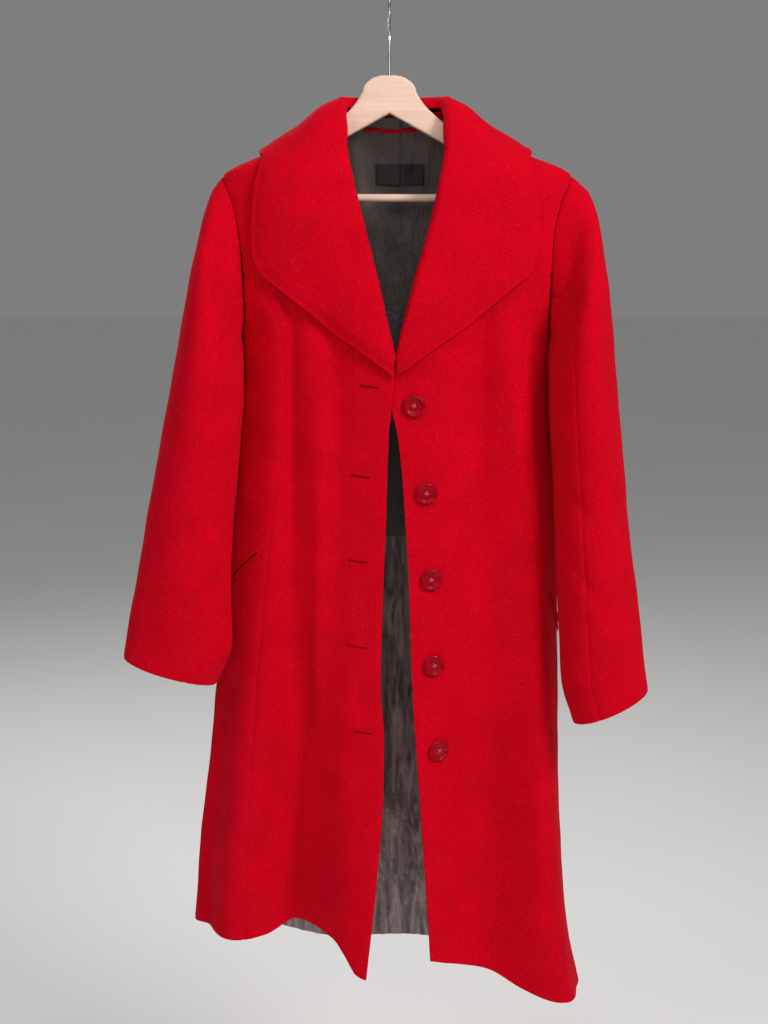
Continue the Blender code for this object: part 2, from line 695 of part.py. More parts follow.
def lining_frame(around, level, gap=LINING_GAP):
    """A point on the lining's hidden side and the direction towards the shell."""
    level = min(level, NECK_LEVEL - 0.004)
    normal = body_normal(around, level)
    return body_point(around, level) - normal * (WOOL + gap), normal


def lining_patch(patch, material, collection):
    """A strip sewn on the lining's open side."""
    outer, inner = [], []
    for k in range(3):
        outer_row, inner_row = [], []
        for j in range(patch.cells + 1):
            share = j / patch.cells
            across = patch.middle_x - CENTRE_X + patch.width * (share - 0.5)
            level = patch.top - patch.height * k / 2 - patch.sag * math.sin(math.pi * share)
            point, normal = lining_frame(side_angle(across, level, 1, back=True), level)
            base = point - normal * (SATIN + LAY_GAP)
            outer_row.append(base)
            inner_row.append(base - normal * patch.thickness)
        outer.append(outer_row)
        inner.append(inner_row)
    return wall(patch.name, outer, inner, material, collection)


def make_welts(wool, collection):
    """The lips of the slanted pockets, lying on the side fronts."""
    for word, (start, end) in (("left", LEFT_WELT), ("right", RIGHT_WELT)):
        outer, inner = [], []
        for k in range(3):
            outer_row, inner_row = [], []
            for j in range(WELT_CELLS + 1):
                share = j / WELT_CELLS
                around = start[0] + (end[0] - start[0]) * share
                level = start[1] + (end[1] - start[1]) * share - WELT_HEIGHT * (k / 2 - 0.5)
                point = body_point(around, level)
                normal = body_normal(around, level)
                inner_row.append(point + normal * LAY_GAP)
                outer_row.append(point + normal * (LAY_GAP + WELT_THICKNESS))
            outer.append(outer_row)
            inner.append(inner_row)
        wall(f"pocket_welt_{word}", outer, inner, wool, collection)


def as_solid(source, collection):
    """The mesh of an evaluated curve or modified object, welded, in place of the source."""
    bpy.context.view_layer.update()
    evaluated = source.evaluated_get(bpy.context.evaluated_depsgraph_get())
    mesh = bpy.data.meshes.new_from_object(evaluated)
    shape = bmesh.new()
    shape.from_mesh(mesh)
    bmesh.ops.remove_doubles(shape, verts=shape.verts[:], dist=1e-6)
    bmesh.ops.recalc_face_normals(shape, faces=shape.faces[:])
    shape.to_mesh(mesh)
    shape.free()
    made = bpy.data.objects.new(source.name + "_solid", mesh)
    made.matrix_world = source.matrix_world.copy()
    collection.objects.link(made)
    name = source.name
    bpy.data.objects.remove(source, do_unlink=True)
    made.name = name
    return made


def cylinder(name, radius, start, end, sides, collection):
    """A straight round bar between two points."""
    direction = end - start
    shape = bmesh.new()
    bmesh.ops.create_cone(
        shape, cap_ends=True, segments=sides, radius1=radius, radius2=radius, depth=direction.length
    )
    mesh = bpy.data.meshes.new(name)
    shape.to_mesh(mesh)
    shape.free()
    made = bpy.data.objects.new(name, mesh)
    turn = direction.to_track_quat("Z", "Y").to_matrix().to_4x4()
    made.matrix_world = Matrix.Translation((start + end) / 2) @ turn
    collection.objects.link(made)
    return made


def cut(target, cutter):
    """Take a cutter out of a solid."""
    cutter.hide_render = True
    cutter.display_type = "WIRE"
    modifier = target.modifiers.new("cut", "BOOLEAN")
    modifier.operation = "DIFFERENCE"
    modifier.object = cutter


def shoulder_seat(x):
    """The height at which the hanger's arm meets the cloth of the left shoulder at a distance x."""
    reach = WOOD_THICKNESS / 2
    high, low = NECK_LEVEL, SHOULDER_LEVEL
    for _ in range(40):
        level = (high + low) / 2
        depth = along(SECTIONS, "front", level)
        if along(SECTIONS, "left", level) * math.sqrt(1.0 - (reach / depth) ** 2) < x + CENTRE_X:
            high = level
        else:
            low = level
    around = -math.degrees(math.acos(reach / along(SECTIONS, "front", level)))
    return level - WOOL / body_normal(around, level).z - ARM_SETTLE


def hanger_outline():
    """Half of the wooden outline, from the crown over the arm to the apex underneath."""
    crown = [(0.000, WOOD_TOP), (0.011, -0.0985), (0.0205, -0.1022), (0.0285, -0.1095)]
    neck = [(0.0315, -0.1175), (0.0365, -0.1258), (0.0435, -0.1342), (0.0530, -0.1425), (0.064, -0.1510)]
    seats = [(x, shoulder_seat(x)) for x in ARM_SEATS]
    end = [
        (0.166, -0.2050),
        (ARM_END - 0.002, ARM_END_LEVEL),
        (ARM_END, ARM_END_LEVEL - 0.007),
        (ARM_END - 0.001, BAR_LEVEL + 0.001),
        (ARM_END - 0.007, BAR_LEVEL - 0.008),
        (0.163, BAR_LEVEL - 0.009),
    ]
    return crown + neck + seats + end + [(0.135, -0.2180), (0.100, -0.1940), (0.0, WOOD_APEX)]


def make_hanger(wood, steel, collection, cutters):
    """Wooden body with a bar for trousers, and the steel hook that a rail carries."""
    half = hanger_outline()
    outline = half + [(-x, z) for x, z in half[-2:0:-1]]
    flat = bpy.data.curves.new("hanger_body", "CURVE")
    flat.dimensions = "2D"
    flat.fill_mode = "BOTH"
    flat.extrude = WOOD_THICKNESS / 2 - WOOD_EDGE
    flat.bevel_depth = WOOD_EDGE
    flat.bevel_resolution = 1
    spline = flat.splines.new("POLY")
    spline.points.add(len(outline) - 1)
    for point, (x, z) in zip(spline.points, outline):
        point.co = (x, z, 0.0, 1.0)
    spline.use_cyclic_u = True
    flat.offset = -WOOD_EDGE
    body = bpy.data.objects.new("hanger_body", flat)
    body.matrix_world = Matrix.Rotation(math.radians(90), 4, "X")
    collection.objects.link(body)
    body = as_solid(body, collection)
    body.data.materials.append(wood)
    reach = Vector((BAR_HALF + FIT_GAP, 0.0, 0.0))
    low = Vector((0.0, 0.0, BAR_LEVEL))
    cut(body, cylinder("bar_socket", BAR_RADIUS + FIT_GAP, low - reach, low + reach, 16, cutters))
    stem_low = Vector((0.0, 0.0, STEM_FOOT - FIT_GAP))
    stem_high = Vector((0.0, 0.0, WOOD_TOP + 0.01))
    cut(body, cylinder("stem_socket", WIRE_RADIUS + FIT_GAP, stem_low, stem_high, 12, cutters))
    reach = Vector((BAR_HALF, 0.0, 0.0))
    bar = cylinder("hanger_bar", BAR_RADIUS, low - reach, low + reach, 16, collection)
    bar.data.materials.append(wood)
    make_hook(steel, collection)


def make_hook(steel, collection):
    """A bent wire: a stem out of the wood, and an arc whose inner top is the origin."""
    radius = HOOK_RADIUS + WIRE_RADIUS
    route = [(0.0, STEM_FOOT), (0.0, -0.090), (0.0, STEM_TOP)]
    route += [(0.0012, -0.0545), (0.0062, -0.0465)]
    for degrees in range(-50, 211, 20):
        angle = math.radians(degrees)
        route.append((radius * math.cos(angle), -HOOK_RADIUS + radius * math.sin(angle)))
    wire = bpy.data.curves.new("hanger_hook", "CURVE")
    wire.dimensions = "3D"
    wire.bevel_depth = WIRE_RADIUS
    wire.bevel_resolution = 2
    wire.use_fill_caps = True
    spline = wire.splines.new("POLY")
    spline.points.add(len(route) - 1)
    for point, (y, z) in zip(spline.points, route):
        point.co = (0.0, y, z, 1.0)
    made = bpy.data.objects.new("hanger_hook", wire)
    collection.objects.link(made)
    made = as_solid(made, collection)
    made.data.materials.append(steel)


def button_profile():
    """Half section of a button, from its middle face over the raised rim to its back."""
    outer = BUTTON_DIAMETER / 2
    return [
        (0.0, 0.0026), (0.0062, 0.0026), (0.0092, 0.0032), (0.0104, BUTTON_THICKNESS),
        (outer - 0.0006, 0.0037), (outer, 0.0022), (outer - 0.0022, 0.0), (0.0, 0.0),
    ]


def make_buttons(plastic, collection, cutters):
    """Four-hole buttons with a raised rim, down the button side's front edge."""
    for k in range(BUTTON_COUNT):
        level = BUTTON_TOP - k * BUTTON_PITCH
        distance = along(FRONT_EDGES, "right", level) + BUTTON_INSET
        around = side_angle(distance, level, 1)
        point = body_point(around, level, True)
        normal = body_normal(around, level, True)
        name = f"button_{k + 1}"
        shape = bmesh.new()
        line = [shape.verts.new((x, 0.0, z)) for x, z in button_profile()]
        edges = [shape.edges.new(pair) for pair in zip(line, line[1:])]
        bmesh.ops.spin(
            shape,
            geom=line + edges,
            axis=(0, 0, 1),
            cent=(0, 0, 0),
            angle=math.tau,
            steps=BUTTON_SIDES,
            use_merge=True,
        )
        bmesh.ops.remove_doubles(shape, verts=shape.verts[:], dist=1e-6)
        bmesh.ops.recalc_face_normals(shape, faces=shape.faces[:])
        mesh = bpy.data.meshes.new(name)
        shape.to_mesh(mesh)
        shape.free()
        mesh.shade_smooth()
        mesh.set_sharp_from_angle(angle=math.radians(40))
        mesh.materials.append(plastic)
        made = bpy.data.objects.new(name, mesh)
        turn = normal.to_track_quat("Z", "Y").to_matrix().to_4x4()
        made.matrix_world = Matrix.Translation(point + normal * BUTTON_LIFT) @ turn
        collection.objects.link(made)
        for hole in range(4):
            angle = math.radians(45 + 90 * hole)
            offset = Vector((math.cos(angle), math.sin(angle), 0.0)) * BUTTON_HOLE_SPREAD
            low = made.matrix_world @ (offset - Vector((0.0, 0.0, 0.002)))
            high = made.matrix_world @ (offset + Vector((0.0, 0.0, 0.006)))
            cut(made, cylinder(f"{name}_hole_{hole}", BUTTON_HOLE_RADIUS, low, high, 6, cutters))


def main():
    """Build every piece of the coat and of its hanger."""
    clear_scene()
    coat = make_collection("swing_coat_on_hanger")
    cutters = make_collection("cutters")
    wool = make_material("red_wool", (0.62, 0.010, 0.022), 0.85)
    satin = make_material("black_satin_lining", (0.030, 0.028, 0.029), 0.40)
    tape = make_material("woven_label", (0.012, 0.012, 0.012), 0.55)
    plastic = make_material("red_button", (0.48, 0.010, 0.020), 0.22)
    wood = make_material("bleached_wood", (0.86, 0.70, 0.60), 0.55)
    steel = make_material("bright_steel", (0.75, 0.74, 0.74), 0.25, 1.0)
    make_body_panels(wool, coat)
    make_sleeves(wool, coat)
    make_collar(wool, coat)
    make_welts(wool, coat)
    make_lining(satin, coat)
    label = Patch("label", CENTRE_X + LABEL_X, LABEL_WIDTH, LABEL_TOP, LABEL_HEIGHT, 6, 0.0, 0.0007)
    lining_patch(label, tape, coat)
    loop = Patch("hanging_loop", CENTRE_X, LOOP_LENGTH, LOOP_LEVEL, LOOP_WIDTH, 8, LOOP_SAG, 0.0015)
    lining_patch(loop, wool, coat)
    make_buttons(plastic, coat, cutters)
    make_hanger(wood, steel, coat, cutters)


main()
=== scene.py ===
"""The looks of a red wool swing coat on a wooden hanger: cloth, lining, buttons, wood and wire.

Every piece of cloth is laid out on one coat form. A place on the body is an angle round the coat,
from 0 at the centre front through 90 at the viewer's right to 180 at the centre back, and a level,
which is the height at the side. Distances across are measured from the coat's centre line.
"""

from __future__ import annotations

import logging
import math
from collections.abc import Sequence
from dataclasses import dataclass
from enum import Enum
from typing import NamedTuple

import bmesh
import bpy
import numpy as np
from mathutils import Matrix, Vector

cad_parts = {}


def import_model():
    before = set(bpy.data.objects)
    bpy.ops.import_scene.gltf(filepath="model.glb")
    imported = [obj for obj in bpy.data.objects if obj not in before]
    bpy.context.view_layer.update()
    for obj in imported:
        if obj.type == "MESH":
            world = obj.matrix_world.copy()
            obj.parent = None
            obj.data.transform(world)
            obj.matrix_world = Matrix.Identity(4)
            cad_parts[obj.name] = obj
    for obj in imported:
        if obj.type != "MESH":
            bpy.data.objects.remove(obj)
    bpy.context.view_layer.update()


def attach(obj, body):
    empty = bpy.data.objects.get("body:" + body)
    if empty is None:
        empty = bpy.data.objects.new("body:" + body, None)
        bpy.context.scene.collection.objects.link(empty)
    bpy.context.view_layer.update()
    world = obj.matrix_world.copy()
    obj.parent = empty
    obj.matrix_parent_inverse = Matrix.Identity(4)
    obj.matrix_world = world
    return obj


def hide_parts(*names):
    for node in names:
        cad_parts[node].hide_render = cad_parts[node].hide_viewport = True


LOG = logging.getLogger("coat")

Triple = tuple[float, float, float]

BODY = "root"

NECK_LEVEL = -0.136
FRONT_NECK_LEVEL = -0.146
SHOULDER_LEVEL = -0.210
PRINCESS_TOP = -0.322
ARMPIT_LEVEL = -0.405
LAPEL_BOTTOM = -0.425
HEM_LEVEL = -1.140
WAIST_SEAM_LEVEL = -0.640
CENTRE_X = 0.007
WOOL = 0.0025
SATIN = 0.0006
SEAM_GAP = 0.00001
ARMHOLE_GAP = 0.00015
SEAM_ZONE = 0.007
SEAM_CELLS = 5
SEAM_CROWDING = 1.4
CREASE_OVERRUN = 0.25
CREASE_RAMP = 0.45
FACING_SLOPE = 2.0
FACING_START = 0.3


class Side(Enum):
    """A side of the coat as the viewer sees it."""

    LEFT = -1
    RIGHT = 1

    @property
    def word(self) -> str:
        """The side's word in the names of pieces."""
        return self.name.lower()


class Face(Enum):
    """Which way a crease's cloth looks."""

    FRONT = -1
    BACK = 1


class Section(NamedTuple):
    """Half widths and depths of the body at one level."""

    level: float
    left: float
    right: float
    front: float
    back: float


class Edge(NamedTuple):
    """How far the roll lines and front edges lie from the centre line."""

    level: float
    left: float
    right: float


class Seam(NamedTuple):
    """How far the armholes and princess seams lie from the centre line."""

    level: float
    armhole_left: float
    armhole_right: float
    front_left: float
    front_right: float
    back: float


class Fold(NamedTuple):
    """A fold of the skirt that grows from its start down to the hem."""

    top: float
    hem: float
    start: float
    depth: float
    spread: float


class Swell(NamedTuple):
    """A soft swell or hollow of the body round one place."""

    around: float
    level: float
    spread: float
    height: float
    depth: float


class Hang(NamedTuple):
    """How much lower than its level the hem hangs at an angle."""

    around: float
    drop: float


class Ring(NamedTuple):
    """One section of a sleeve: its outer and inner line, how far forward it hangs and its depth."""

    step: float
    out_x: float
    out_z: float
    in_x: float
    in_z: float
    forward: float
    depth: float


class Station(NamedTuple):
    """One station of the collar, from the lapel point round to the centre back."""

    step: float
    roll_level: float
    roll_angle: float
    edge_across: float
    edge_level: float
    bow: float


class Crease(NamedTuple):
    """A soft trough or ridge between two places of the front or back view."""

    face: Face
    top_x: float
    top_z: float
    low_x: float
    low_z: float
    depth: float
    width: float


def table(kind: type, *rows: tuple[float, ...]) -> tuple:
    """Rows of one kind from plain numbers."""
    return tuple(kind(*row) for row in rows)


def face_creases(face: Face, *rows: tuple[float, ...]) -> tuple[Crease, ...]:
    """Creases of cloth that looks one way."""
    return tuple(Crease(face, *row) for row in rows)


SECTIONS = table(
    Section,
    (NECK_LEVEL, 0.063, 0.060, 0.024, 0.024),
    (-0.160, 0.103, 0.100, 0.034, 0.034),
    (-0.182, 0.145, 0.144, 0.043, 0.042),
    (SHOULDER_LEVEL, 0.1990, 0.2030, 0.051, 0.048),
    (-0.240, 0.206, 0.211, 0.056, 0.052),
    (-0.300, 0.208, 0.211, 0.062, 0.054),
    (-0.350, 0.197, 0.198, 0.065, 0.053),
    (ARMPIT_LEVEL, 0.1735, 0.1770, 0.067, 0.052),
    (-0.500, 0.181, 0.1815, 0.064, 0.048),
    (-0.610, 0.195, 0.1905, 0.064, 0.046),
    (-0.750, 0.211, 0.1975, 0.070, 0.050),
    (-0.910, 0.2275, 0.2040, 0.077, 0.055),
    (-1.050, 0.2445, 0.2155, 0.083, 0.058),
    (HEM_LEVEL, 0.2515, 0.2335, 0.086, 0.060),
)
FRONT_EDGES = table(
    Edge,
    (NECK_LEVEL, 0.0630, 0.0600),
    (-0.150, 0.0620, 0.0605),
    (-0.200, 0.0530, 0.0540),
    (-0.255, 0.0400, 0.0430),
    (-0.323, 0.0230, 0.0240),
    (-0.394, 0.0070, 0.0065),
    (-0.415, 0.0020, 0.0010),
    (-0.440, 0.0020, -0.0070),
    (-0.475, 0.0050, -0.0040),
    (-0.501, 0.0075, 0.0020),
    (-0.553, 0.0095, 0.0080),
    (-0.610, 0.0110, 0.0120),
    (-0.680, 0.0140, 0.0160),
    (-0.790, 0.0170, 0.0195),
    (-0.860, 0.0130, 0.0235),
    (-0.920, 0.0140, 0.0280),
    (-1.020, 0.0210, 0.0350),
    (HEM_LEVEL, 0.0330, 0.0430),
)
SEAMS = table(
    Seam,
    (NECK_LEVEL, 0.0600, 0.0600, 0.0600, 0.0600, 0.042),
    (-0.175, 0.1350, 0.1350, 0.1300, 0.1300, 0.080),
    (SHOULDER_LEVEL, 0.1985, 0.2025, 0.1900, 0.1900, 0.108),
    (-0.240, 0.1870, 0.1900, 0.1820, 0.1820, 0.115),
    (-0.270, 0.1800, 0.1820, 0.1750, 0.1750, 0.117),
    (-0.300, 0.1760, 0.1790, 0.1730, 0.1768, 0.117),
    (PRINCESS_TOP, 0.1745, 0.1785, 0.1732, 0.1772, 0.116),
    (-0.346, 0.1740, 0.1780, 0.1480, 0.1680, 0.114),
    (-0.375, 0.1737, 0.1775, 0.1350, 0.1560, 0.111),
    (ARMPIT_LEVEL, 0.1735, 0.1770, 0.1300, 0.1440, 0.108),
    (-0.460, 0.1760, 0.1730, 0.1300, 0.1420, 0.103),
    (-0.550, 0.1870, 0.1810, 0.1370, 0.1510, 0.098),
    (-0.620, 0.1960, 0.1870, 0.1450, 0.1600, 0.100),
    (-0.700, 0.2050, 0.1910, 0.1530, 0.1660, 0.106),
    (-0.850, 0.2200, 0.1970, 0.1660, 0.1740, 0.120),
    (HEM_LEVEL, 0.2515, 0.2335, 0.1830, 0.1900, 0.142),
)
FOLDS = table(
    Fold,
    (-3.0, -7.0, -0.76, 0.030, 11.0),
    (-23.0, -31.0, -0.33, -0.038, 10.0),
    (-48.0, -52.0, -0.42, 0.012, 9.0),
    (-72.0, -72.0, -0.55, -0.010, 9.0),
    (4.0, 9.0, -0.80, 0.006, 8.0),
    (28.0, 27.0, -0.38, -0.024, 12.0),
    (58.0, 55.0, -0.42, 0.036, 13.0),
    (118.0, 122.0, -0.55, 0.016, 12.0),
    (145.0, 146.0, -0.55, -0.014, 11.0),
    (170.0, 172.0, -0.60, 0.014, 12.0),
    (-162.0, -160.0, -0.60, -0.012, 10.0),
    (-134.0, -136.0, -0.55, 0.018, 12.0),
    (-108.0, -110.0, -0.60, -0.012, 9.0),
)
SWELLS = table(
    Swell,
    (-26.0, -0.450, 9.0, 0.120, -0.0100),
    (-45.0, -0.440, 10.0, 0.110, 0.0050),
    (29.0, -0.480, 11.0, 0.150, -0.0080),
    (52.0, -0.470, 11.0, 0.130, 0.0060),
    (-103.0, -0.458, 10.0, 0.055, 0.0105),
    (103.0, -0.485, 10.0, 0.085, 0.0095),
    (-86.0, -0.385, 14.0, 0.040, 0.0058),
    (86.0, -0.380, 14.0, 0.040, 0.0030),
    (-88.0, -0.500, 14.0, 0.060, 0.0038),
    (88.0, -0.600, 14.0, 0.110, 0.0040),
)
HEM_HANG = table(
    Hang,
    (-180.0, 0.034),
    (-135.0, 0.010),
    (-90.0, -0.018),
    (-60.0, -0.019),
    (-40.0, -0.018),
    (-31.0, -0.036),
    (-24.0, -0.038),
    (-17.0, -0.033),
    (-13.5, -0.018),
    (-10.0, 0.004),
    (-5.0, 0.009),
    (9.0, -0.004),
    (16.0, 0.006),
    (24.0, 0.018),
    (32.0, 0.026),
    (41.0, 0.042),
    (51.0, 0.053),
    (90.0, 0.066),
    (135.0, 0.050),
    (180.0, 0.034),
)
LEFT_SLEEVE = table(
    Ring,
    (1.0, 0.2120, -0.228, 0.1770, -0.4040, 0.003, 0.046),
    (2.0, 0.2210, -0.256, 0.1775, -0.4120, 0.008, 0.056),
    (3.0, 0.2310, -0.305, 0.1765, -0.4270, 0.024, 0.063),
    (4.0, 0.2460, -0.385, 0.1760, -0.4600, 0.035, 0.064),
    (5.0, 0.2640, -0.475, 0.1800, -0.5170, 0.042, 0.059),
    (6.0, 0.2840, -0.573, 0.1880, -0.6000, 0.050, 0.052),
    (7.0, 0.3015, -0.668, 0.1930, -0.6880, 0.055, 0.046),
    (8.0, 0.3145, -0.733, 0.1925, -0.7480, 0.058, 0.042),
    (9.0, 0.3190, -0.765, 0.2110, -0.7975, 0.059, 0.038),
)
RIGHT_SLEEVE = table(
    Ring,
    (1.0, 0.2230, -0.228, 0.1790, -0.4040, 0.003, 0.046),
    (2.0, 0.2325, -0.254, 0.1790, -0.4120, 0.010, 0.056),
    (3.0, 0.2395, -0.305, 0.1785, -0.4270, 0.026, 0.063),
    (4.0, 0.2490, -0.385, 0.1785, -0.4600, 0.036, 0.064),
    (5.0, 0.2585, -0.480, 0.1810, -0.5200, 0.045, 0.059),
    (6.0, 0.2675, -0.580, 0.1855, -0.6080, 0.056, 0.052),
    (7.0, 0.2815, -0.690, 0.1905, -0.7180, 0.068, 0.046),
    (8.0, 0.2890, -0.758, 0.1945, -0.7900, 0.077, 0.042),
    (9.0, 0.2945, -0.798, 0.2090, -0.8380, 0.082, 0.038),
)
COLLAR = table(
    Station,
    (0.0, -0.414, 0.0, 0.001, -0.436, 0.0010),
    (1.0, -0.385, 0.0, 0.037, -0.409, 0.0025),
    (2.0, -0.345, 0.0, 0.088, -0.372, 0.0035),
    (3.0, -0.310, 0.0, 0.128, -0.340, 0.0040),
    (4.0, -0.275, 0.0, 0.153, -0.316, 0.0055),
    (5.0, -0.245, 0.0, 0.1615, -0.289, 0.0065),
    (6.0, -0.215, 0.0, 0.160, -0.251, 0.0070),
    (7.0, -0.187, 0.0, 0.1565, -0.218, 0.0060),
    (8.0, -0.160, 0.0, 0.1490, -0.193, 0.0045),
    (9.0, NECK_LEVEL, 90.0, 90.0, -0.181, 0.0038),
    (10.0, NECK_LEVEL, 112.0, 122.0, -0.199, 0.0050),
    (11.0, NECK_LEVEL, 135.0, 144.0, -0.224, 0.0060),
    (12.0, NECK_LEVEL, 158.0, 163.0, -0.238, 0.0070),
    (13.0, NECK_LEVEL, 180.0, 180.0, -0.242, 0.0070),
)
SHOULDER_STEP = 9
BODY_CREASES = face_creases(
    Face.FRONT,
    (-0.114, -0.330, -0.116, -0.820, -0.0115, 0.014),
    (-0.080, -0.450, -0.084, -0.830, 0.0118, 0.015),
    (-0.130, -0.880, -0.148, -1.110, -0.0070, 0.017),
    (-0.092, -0.870, -0.108, -1.100, 0.0085, 0.018),
    (0.107, -0.340, 0.102, -0.540, -0.0064, 0.014),
    (0.142, -0.390, 0.150, -0.540, 0.0060, 0.016),
    (0.078, -0.430, 0.060, -0.600, 0.0030, 0.018),
    (0.166, -0.520, 0.184, -1.020, 0.0055, 0.016),
    (0.120, -0.600, 0.128, -1.050, -0.0030, 0.022),
    (0.045, -0.760, 0.060, -1.060, 0.0020, 0.014),
    (-0.160, -0.760, -0.185, -1.060, -0.0018, 0.012),
    (-0.028, -0.460, -0.036, -0.900, -0.0010, 0.010),
    (0.060, -0.480, 0.078, -0.560, -0.0012, 0.009),
) + face_creases(
    Face.BACK,
    (-0.130, -0.300, -0.060, -0.380, -0.0022, 0.014),
    (0.135, -0.310, 0.070, -0.400, -0.0022, 0.014),
    (-0.150, -0.400, -0.120, -0.560, 0.0020, 0.016),
    (0.155, -0.410, 0.125, -0.600, 0.0020, 0.016),
    (-0.050, -0.560, -0.070, -0.900, -0.0022, 0.018),
    (0.065, -0.600, 0.080, -0.960, -0.0022, 0.018),
)
LEFT_SLEEVE_CREASES = face_creases(
    Face.FRONT,
    (-0.185, -0.275, -0.205, -0.420, -0.0022, 0.010),
    (-0.215, -0.300, -0.228, -0.560, 0.0018, 0.016),
    (-0.190, -0.520, -0.228, -0.560, -0.0020, 0.008),
    (-0.192, -0.600, -0.240, -0.620, -0.0022, 0.008),
    (-0.196, -0.650, -0.236, -0.690, 0.0016, 0.008),
    (-0.262, -0.610, -0.282, -0.740, -0.0014, 0.013),
) + face_creases(
    Face.BACK,
    (-0.240, -0.420, -0.210, -0.520, -0.0024, 0.012),
    (-0.262, -0.520, -0.225, -0.600, -0.0022, 0.010),
    (-0.215, -0.330, -0.225, -0.470, 0.0020, 0.014),
)
RIGHT_SLEEVE_CREASES = face_creases(
    Face.FRONT,
    (0.205, -0.275, 0.200, -0.430, -0.0022, 0.010),
    (0.228, -0.300, 0.238, -0.540, 0.0018, 0.016),
    (0.195, -0.560, 0.232, -0.600, -0.0018, 0.008),
    (0.204, -0.640, 0.240, -0.690, -0.0020, 0.008),
    (0.222, -0.700, 0.262, -0.735, 0.0018, 0.008),
    (0.258, -0.600, 0.282, -0.760, -0.0016, 0.012),
) + face_creases(
    Face.BACK,
    (0.250, -0.430, 0.215, -0.530, -0.0024, 0.012),
    (0.262, -0.540, 0.228, -0.620, -0.0022, 0.010),
    (0.225, -0.340, 0.232, -0.480, 0.0020, 0.014),
)
COLLAR_CREASES = face_creases(
    Face.FRONT,
    (-0.080, -0.190, -0.040, -0.330, -0.0014, 0.016),
    (-0.120, -0.200, -0.110, -0.300, 0.0014, 0.018),
    (0.092, -0.190, 0.058, -0.330, -0.0014, 0.016),
    (0.135, -0.200, 0.128, -0.300, 0.0014, 0.018),
)
LINING_CREASES = face_creases(
    Face.BACK,
    (0.034, -0.160, 0.022, -0.200, -0.0022, 0.0035),
    (0.026, -0.158, 0.030, -0.188, 0.0020, 0.0040),
    (0.046, -0.172, 0.036, -0.225, -0.0026, 0.0050),
    (-0.042, -0.175, -0.030, -0.260, -0.0030, 0.0070),
    (-0.020, -0.165, -0.026, -0.230, 0.0014, 0.0080),
    (0.020, -0.240, 0.030, -0.420, -0.0020, 0.0090),
    (-0.014, -0.290, -0.006, -0.520, -0.0016, 0.0070),
    (-0.004, -0.660, 0.012, -0.900, -0.0024, 0.0050),
    (0.014, -0.700, -0.006, -0.960, 0.0024, 0.0050),
    (0.004, -0.860, 0.026, -1.120, -0.0026, 0.0060),
    (-0.010, -0.960, 0.008, -1.160, 0.0024, 0.0050),
)


def table_curve(rows: Sequence[NamedTuple], column: str, at: np.ndarray) -> np.ndarray:
    """Read a column of a table on a smooth curve that doesn't overshoot its rows.

    Args:
        rows: The table, whose first column rises or falls.
        column: The column to read.
        at: Places in the first column.

    Returns:
        The column's values there.
    """
    keys = np.array([row[0] for row in rows])
    values = np.array([getattr(row, column) for row in rows])
    at = np.asarray(at, dtype=float)
    if keys[-1] < keys[0]:
        keys, at = -keys, -at
    at = np.clip(at, keys[0], keys[-1])
    rise = np.diff(values) / np.diff(keys)
    before, after = rise[:-1], rise[1:]
    product = before * after
    total = np.where(product > 0.0, before + after, 1.0)
    inner = np.where(product > 0.0, 2.0 * product / total, 0.0)
    slope = np.concatenate(([rise[0]], inner, [rise[-1]]))
    i = np.clip(np.searchsorted(keys, at, side="right") - 1, 0, len(keys) - 2)
    span = keys[i + 1] - keys[i]
    t = (at - keys[i]) / span
    return (
        values[i] * (1 - 3 * t**2 + 2 * t**3)
        + values[i + 1] * (3 * t**2 - 2 * t**3)
        + span * slope[i] * (t - 2 * t**2 + t**3)
        + span * slope[i + 1] * (t**3 - t**2)
    )


def ease(value: np.ndarray) -> np.ndarray:
    """A smooth step from 0 to 1."""
    value = np.clip(value, 0.0, 1.0)
    return value * value * (3.0 - 2.0 * value)


def unit(vectors: np.ndarray) -> np.ndarray:
    """Vectors of length one in the same directions."""
    return vectors / np.maximum(np.linalg.norm(vectors, axis=-1, keepdims=True), 1e-12)


def grid_normals(points: np.ndarray) -> np.ndarray:
    """Outward directions of a grid whose rows run down and whose columns run round."""
    down = np.gradient(points, axis=0)
    across = np.gradient(points, axis=1)
    return unit(np.cross(down, across))


def arc_lengths(points: np.ndarray, axis: int) -> np.ndarray:
    """Distances along a grid's rows or columns from its first line."""
    steps = np.linalg.norm(np.diff(points, axis=axis), axis=-1)
    start = np.zeros_like(np.take(steps, [0], axis=axis))
    return np.cumsum(np.concatenate((start, steps), axis=axis), axis=axis)


def spread(length: float, pitch: float) -> np.ndarray:
    """Shares of a length, close together at its two ends where cloth turns into a seam.

    Args:
        length: The length in metres.
        pitch: The distance between lines in the middle.

    Returns:
        Rising values from 0 to 1.
    """
    near = SEAM_ZONE * (np.arange(SEAM_CELLS + 1) / SEAM_CELLS) ** SEAM_CROWDING
    middle = max(int(round((length - 2 * SEAM_ZONE) / pitch)), 2)
    inner = np.linspace(SEAM_ZONE, length - SEAM_ZONE, middle + 1)
    return np.concatenate((near, inner[1:-1], (length - near)[::-1])) / length


def levels_from(top: float, pitch: float) -> np.ndarray:
    """Rows from a top level to the hem, close together at both."""
    return top + (HEM_LEVEL - top) * spread(top - HEM_LEVEL, pitch)


def coat_grid(
    levels: np.ndarray, low: np.ndarray, high: np.ndarray, shares: np.ndarray
) -> tuple[np.ndarray, np.ndarray]:
    """Angles and levels of a grid whose rows run from one angle to another.

    Args:
        levels: The rows.
        low: The first angle of each row.
        high: The last angle of each row.
        shares: Where the columns lie between them.

    Returns:
        Angles and levels, of the same shape.
    """
    around = low[:, None] + (high - low)[:, None] * shares[None, :]
    return around, np.broadcast_to(levels[:, None], around.shape)


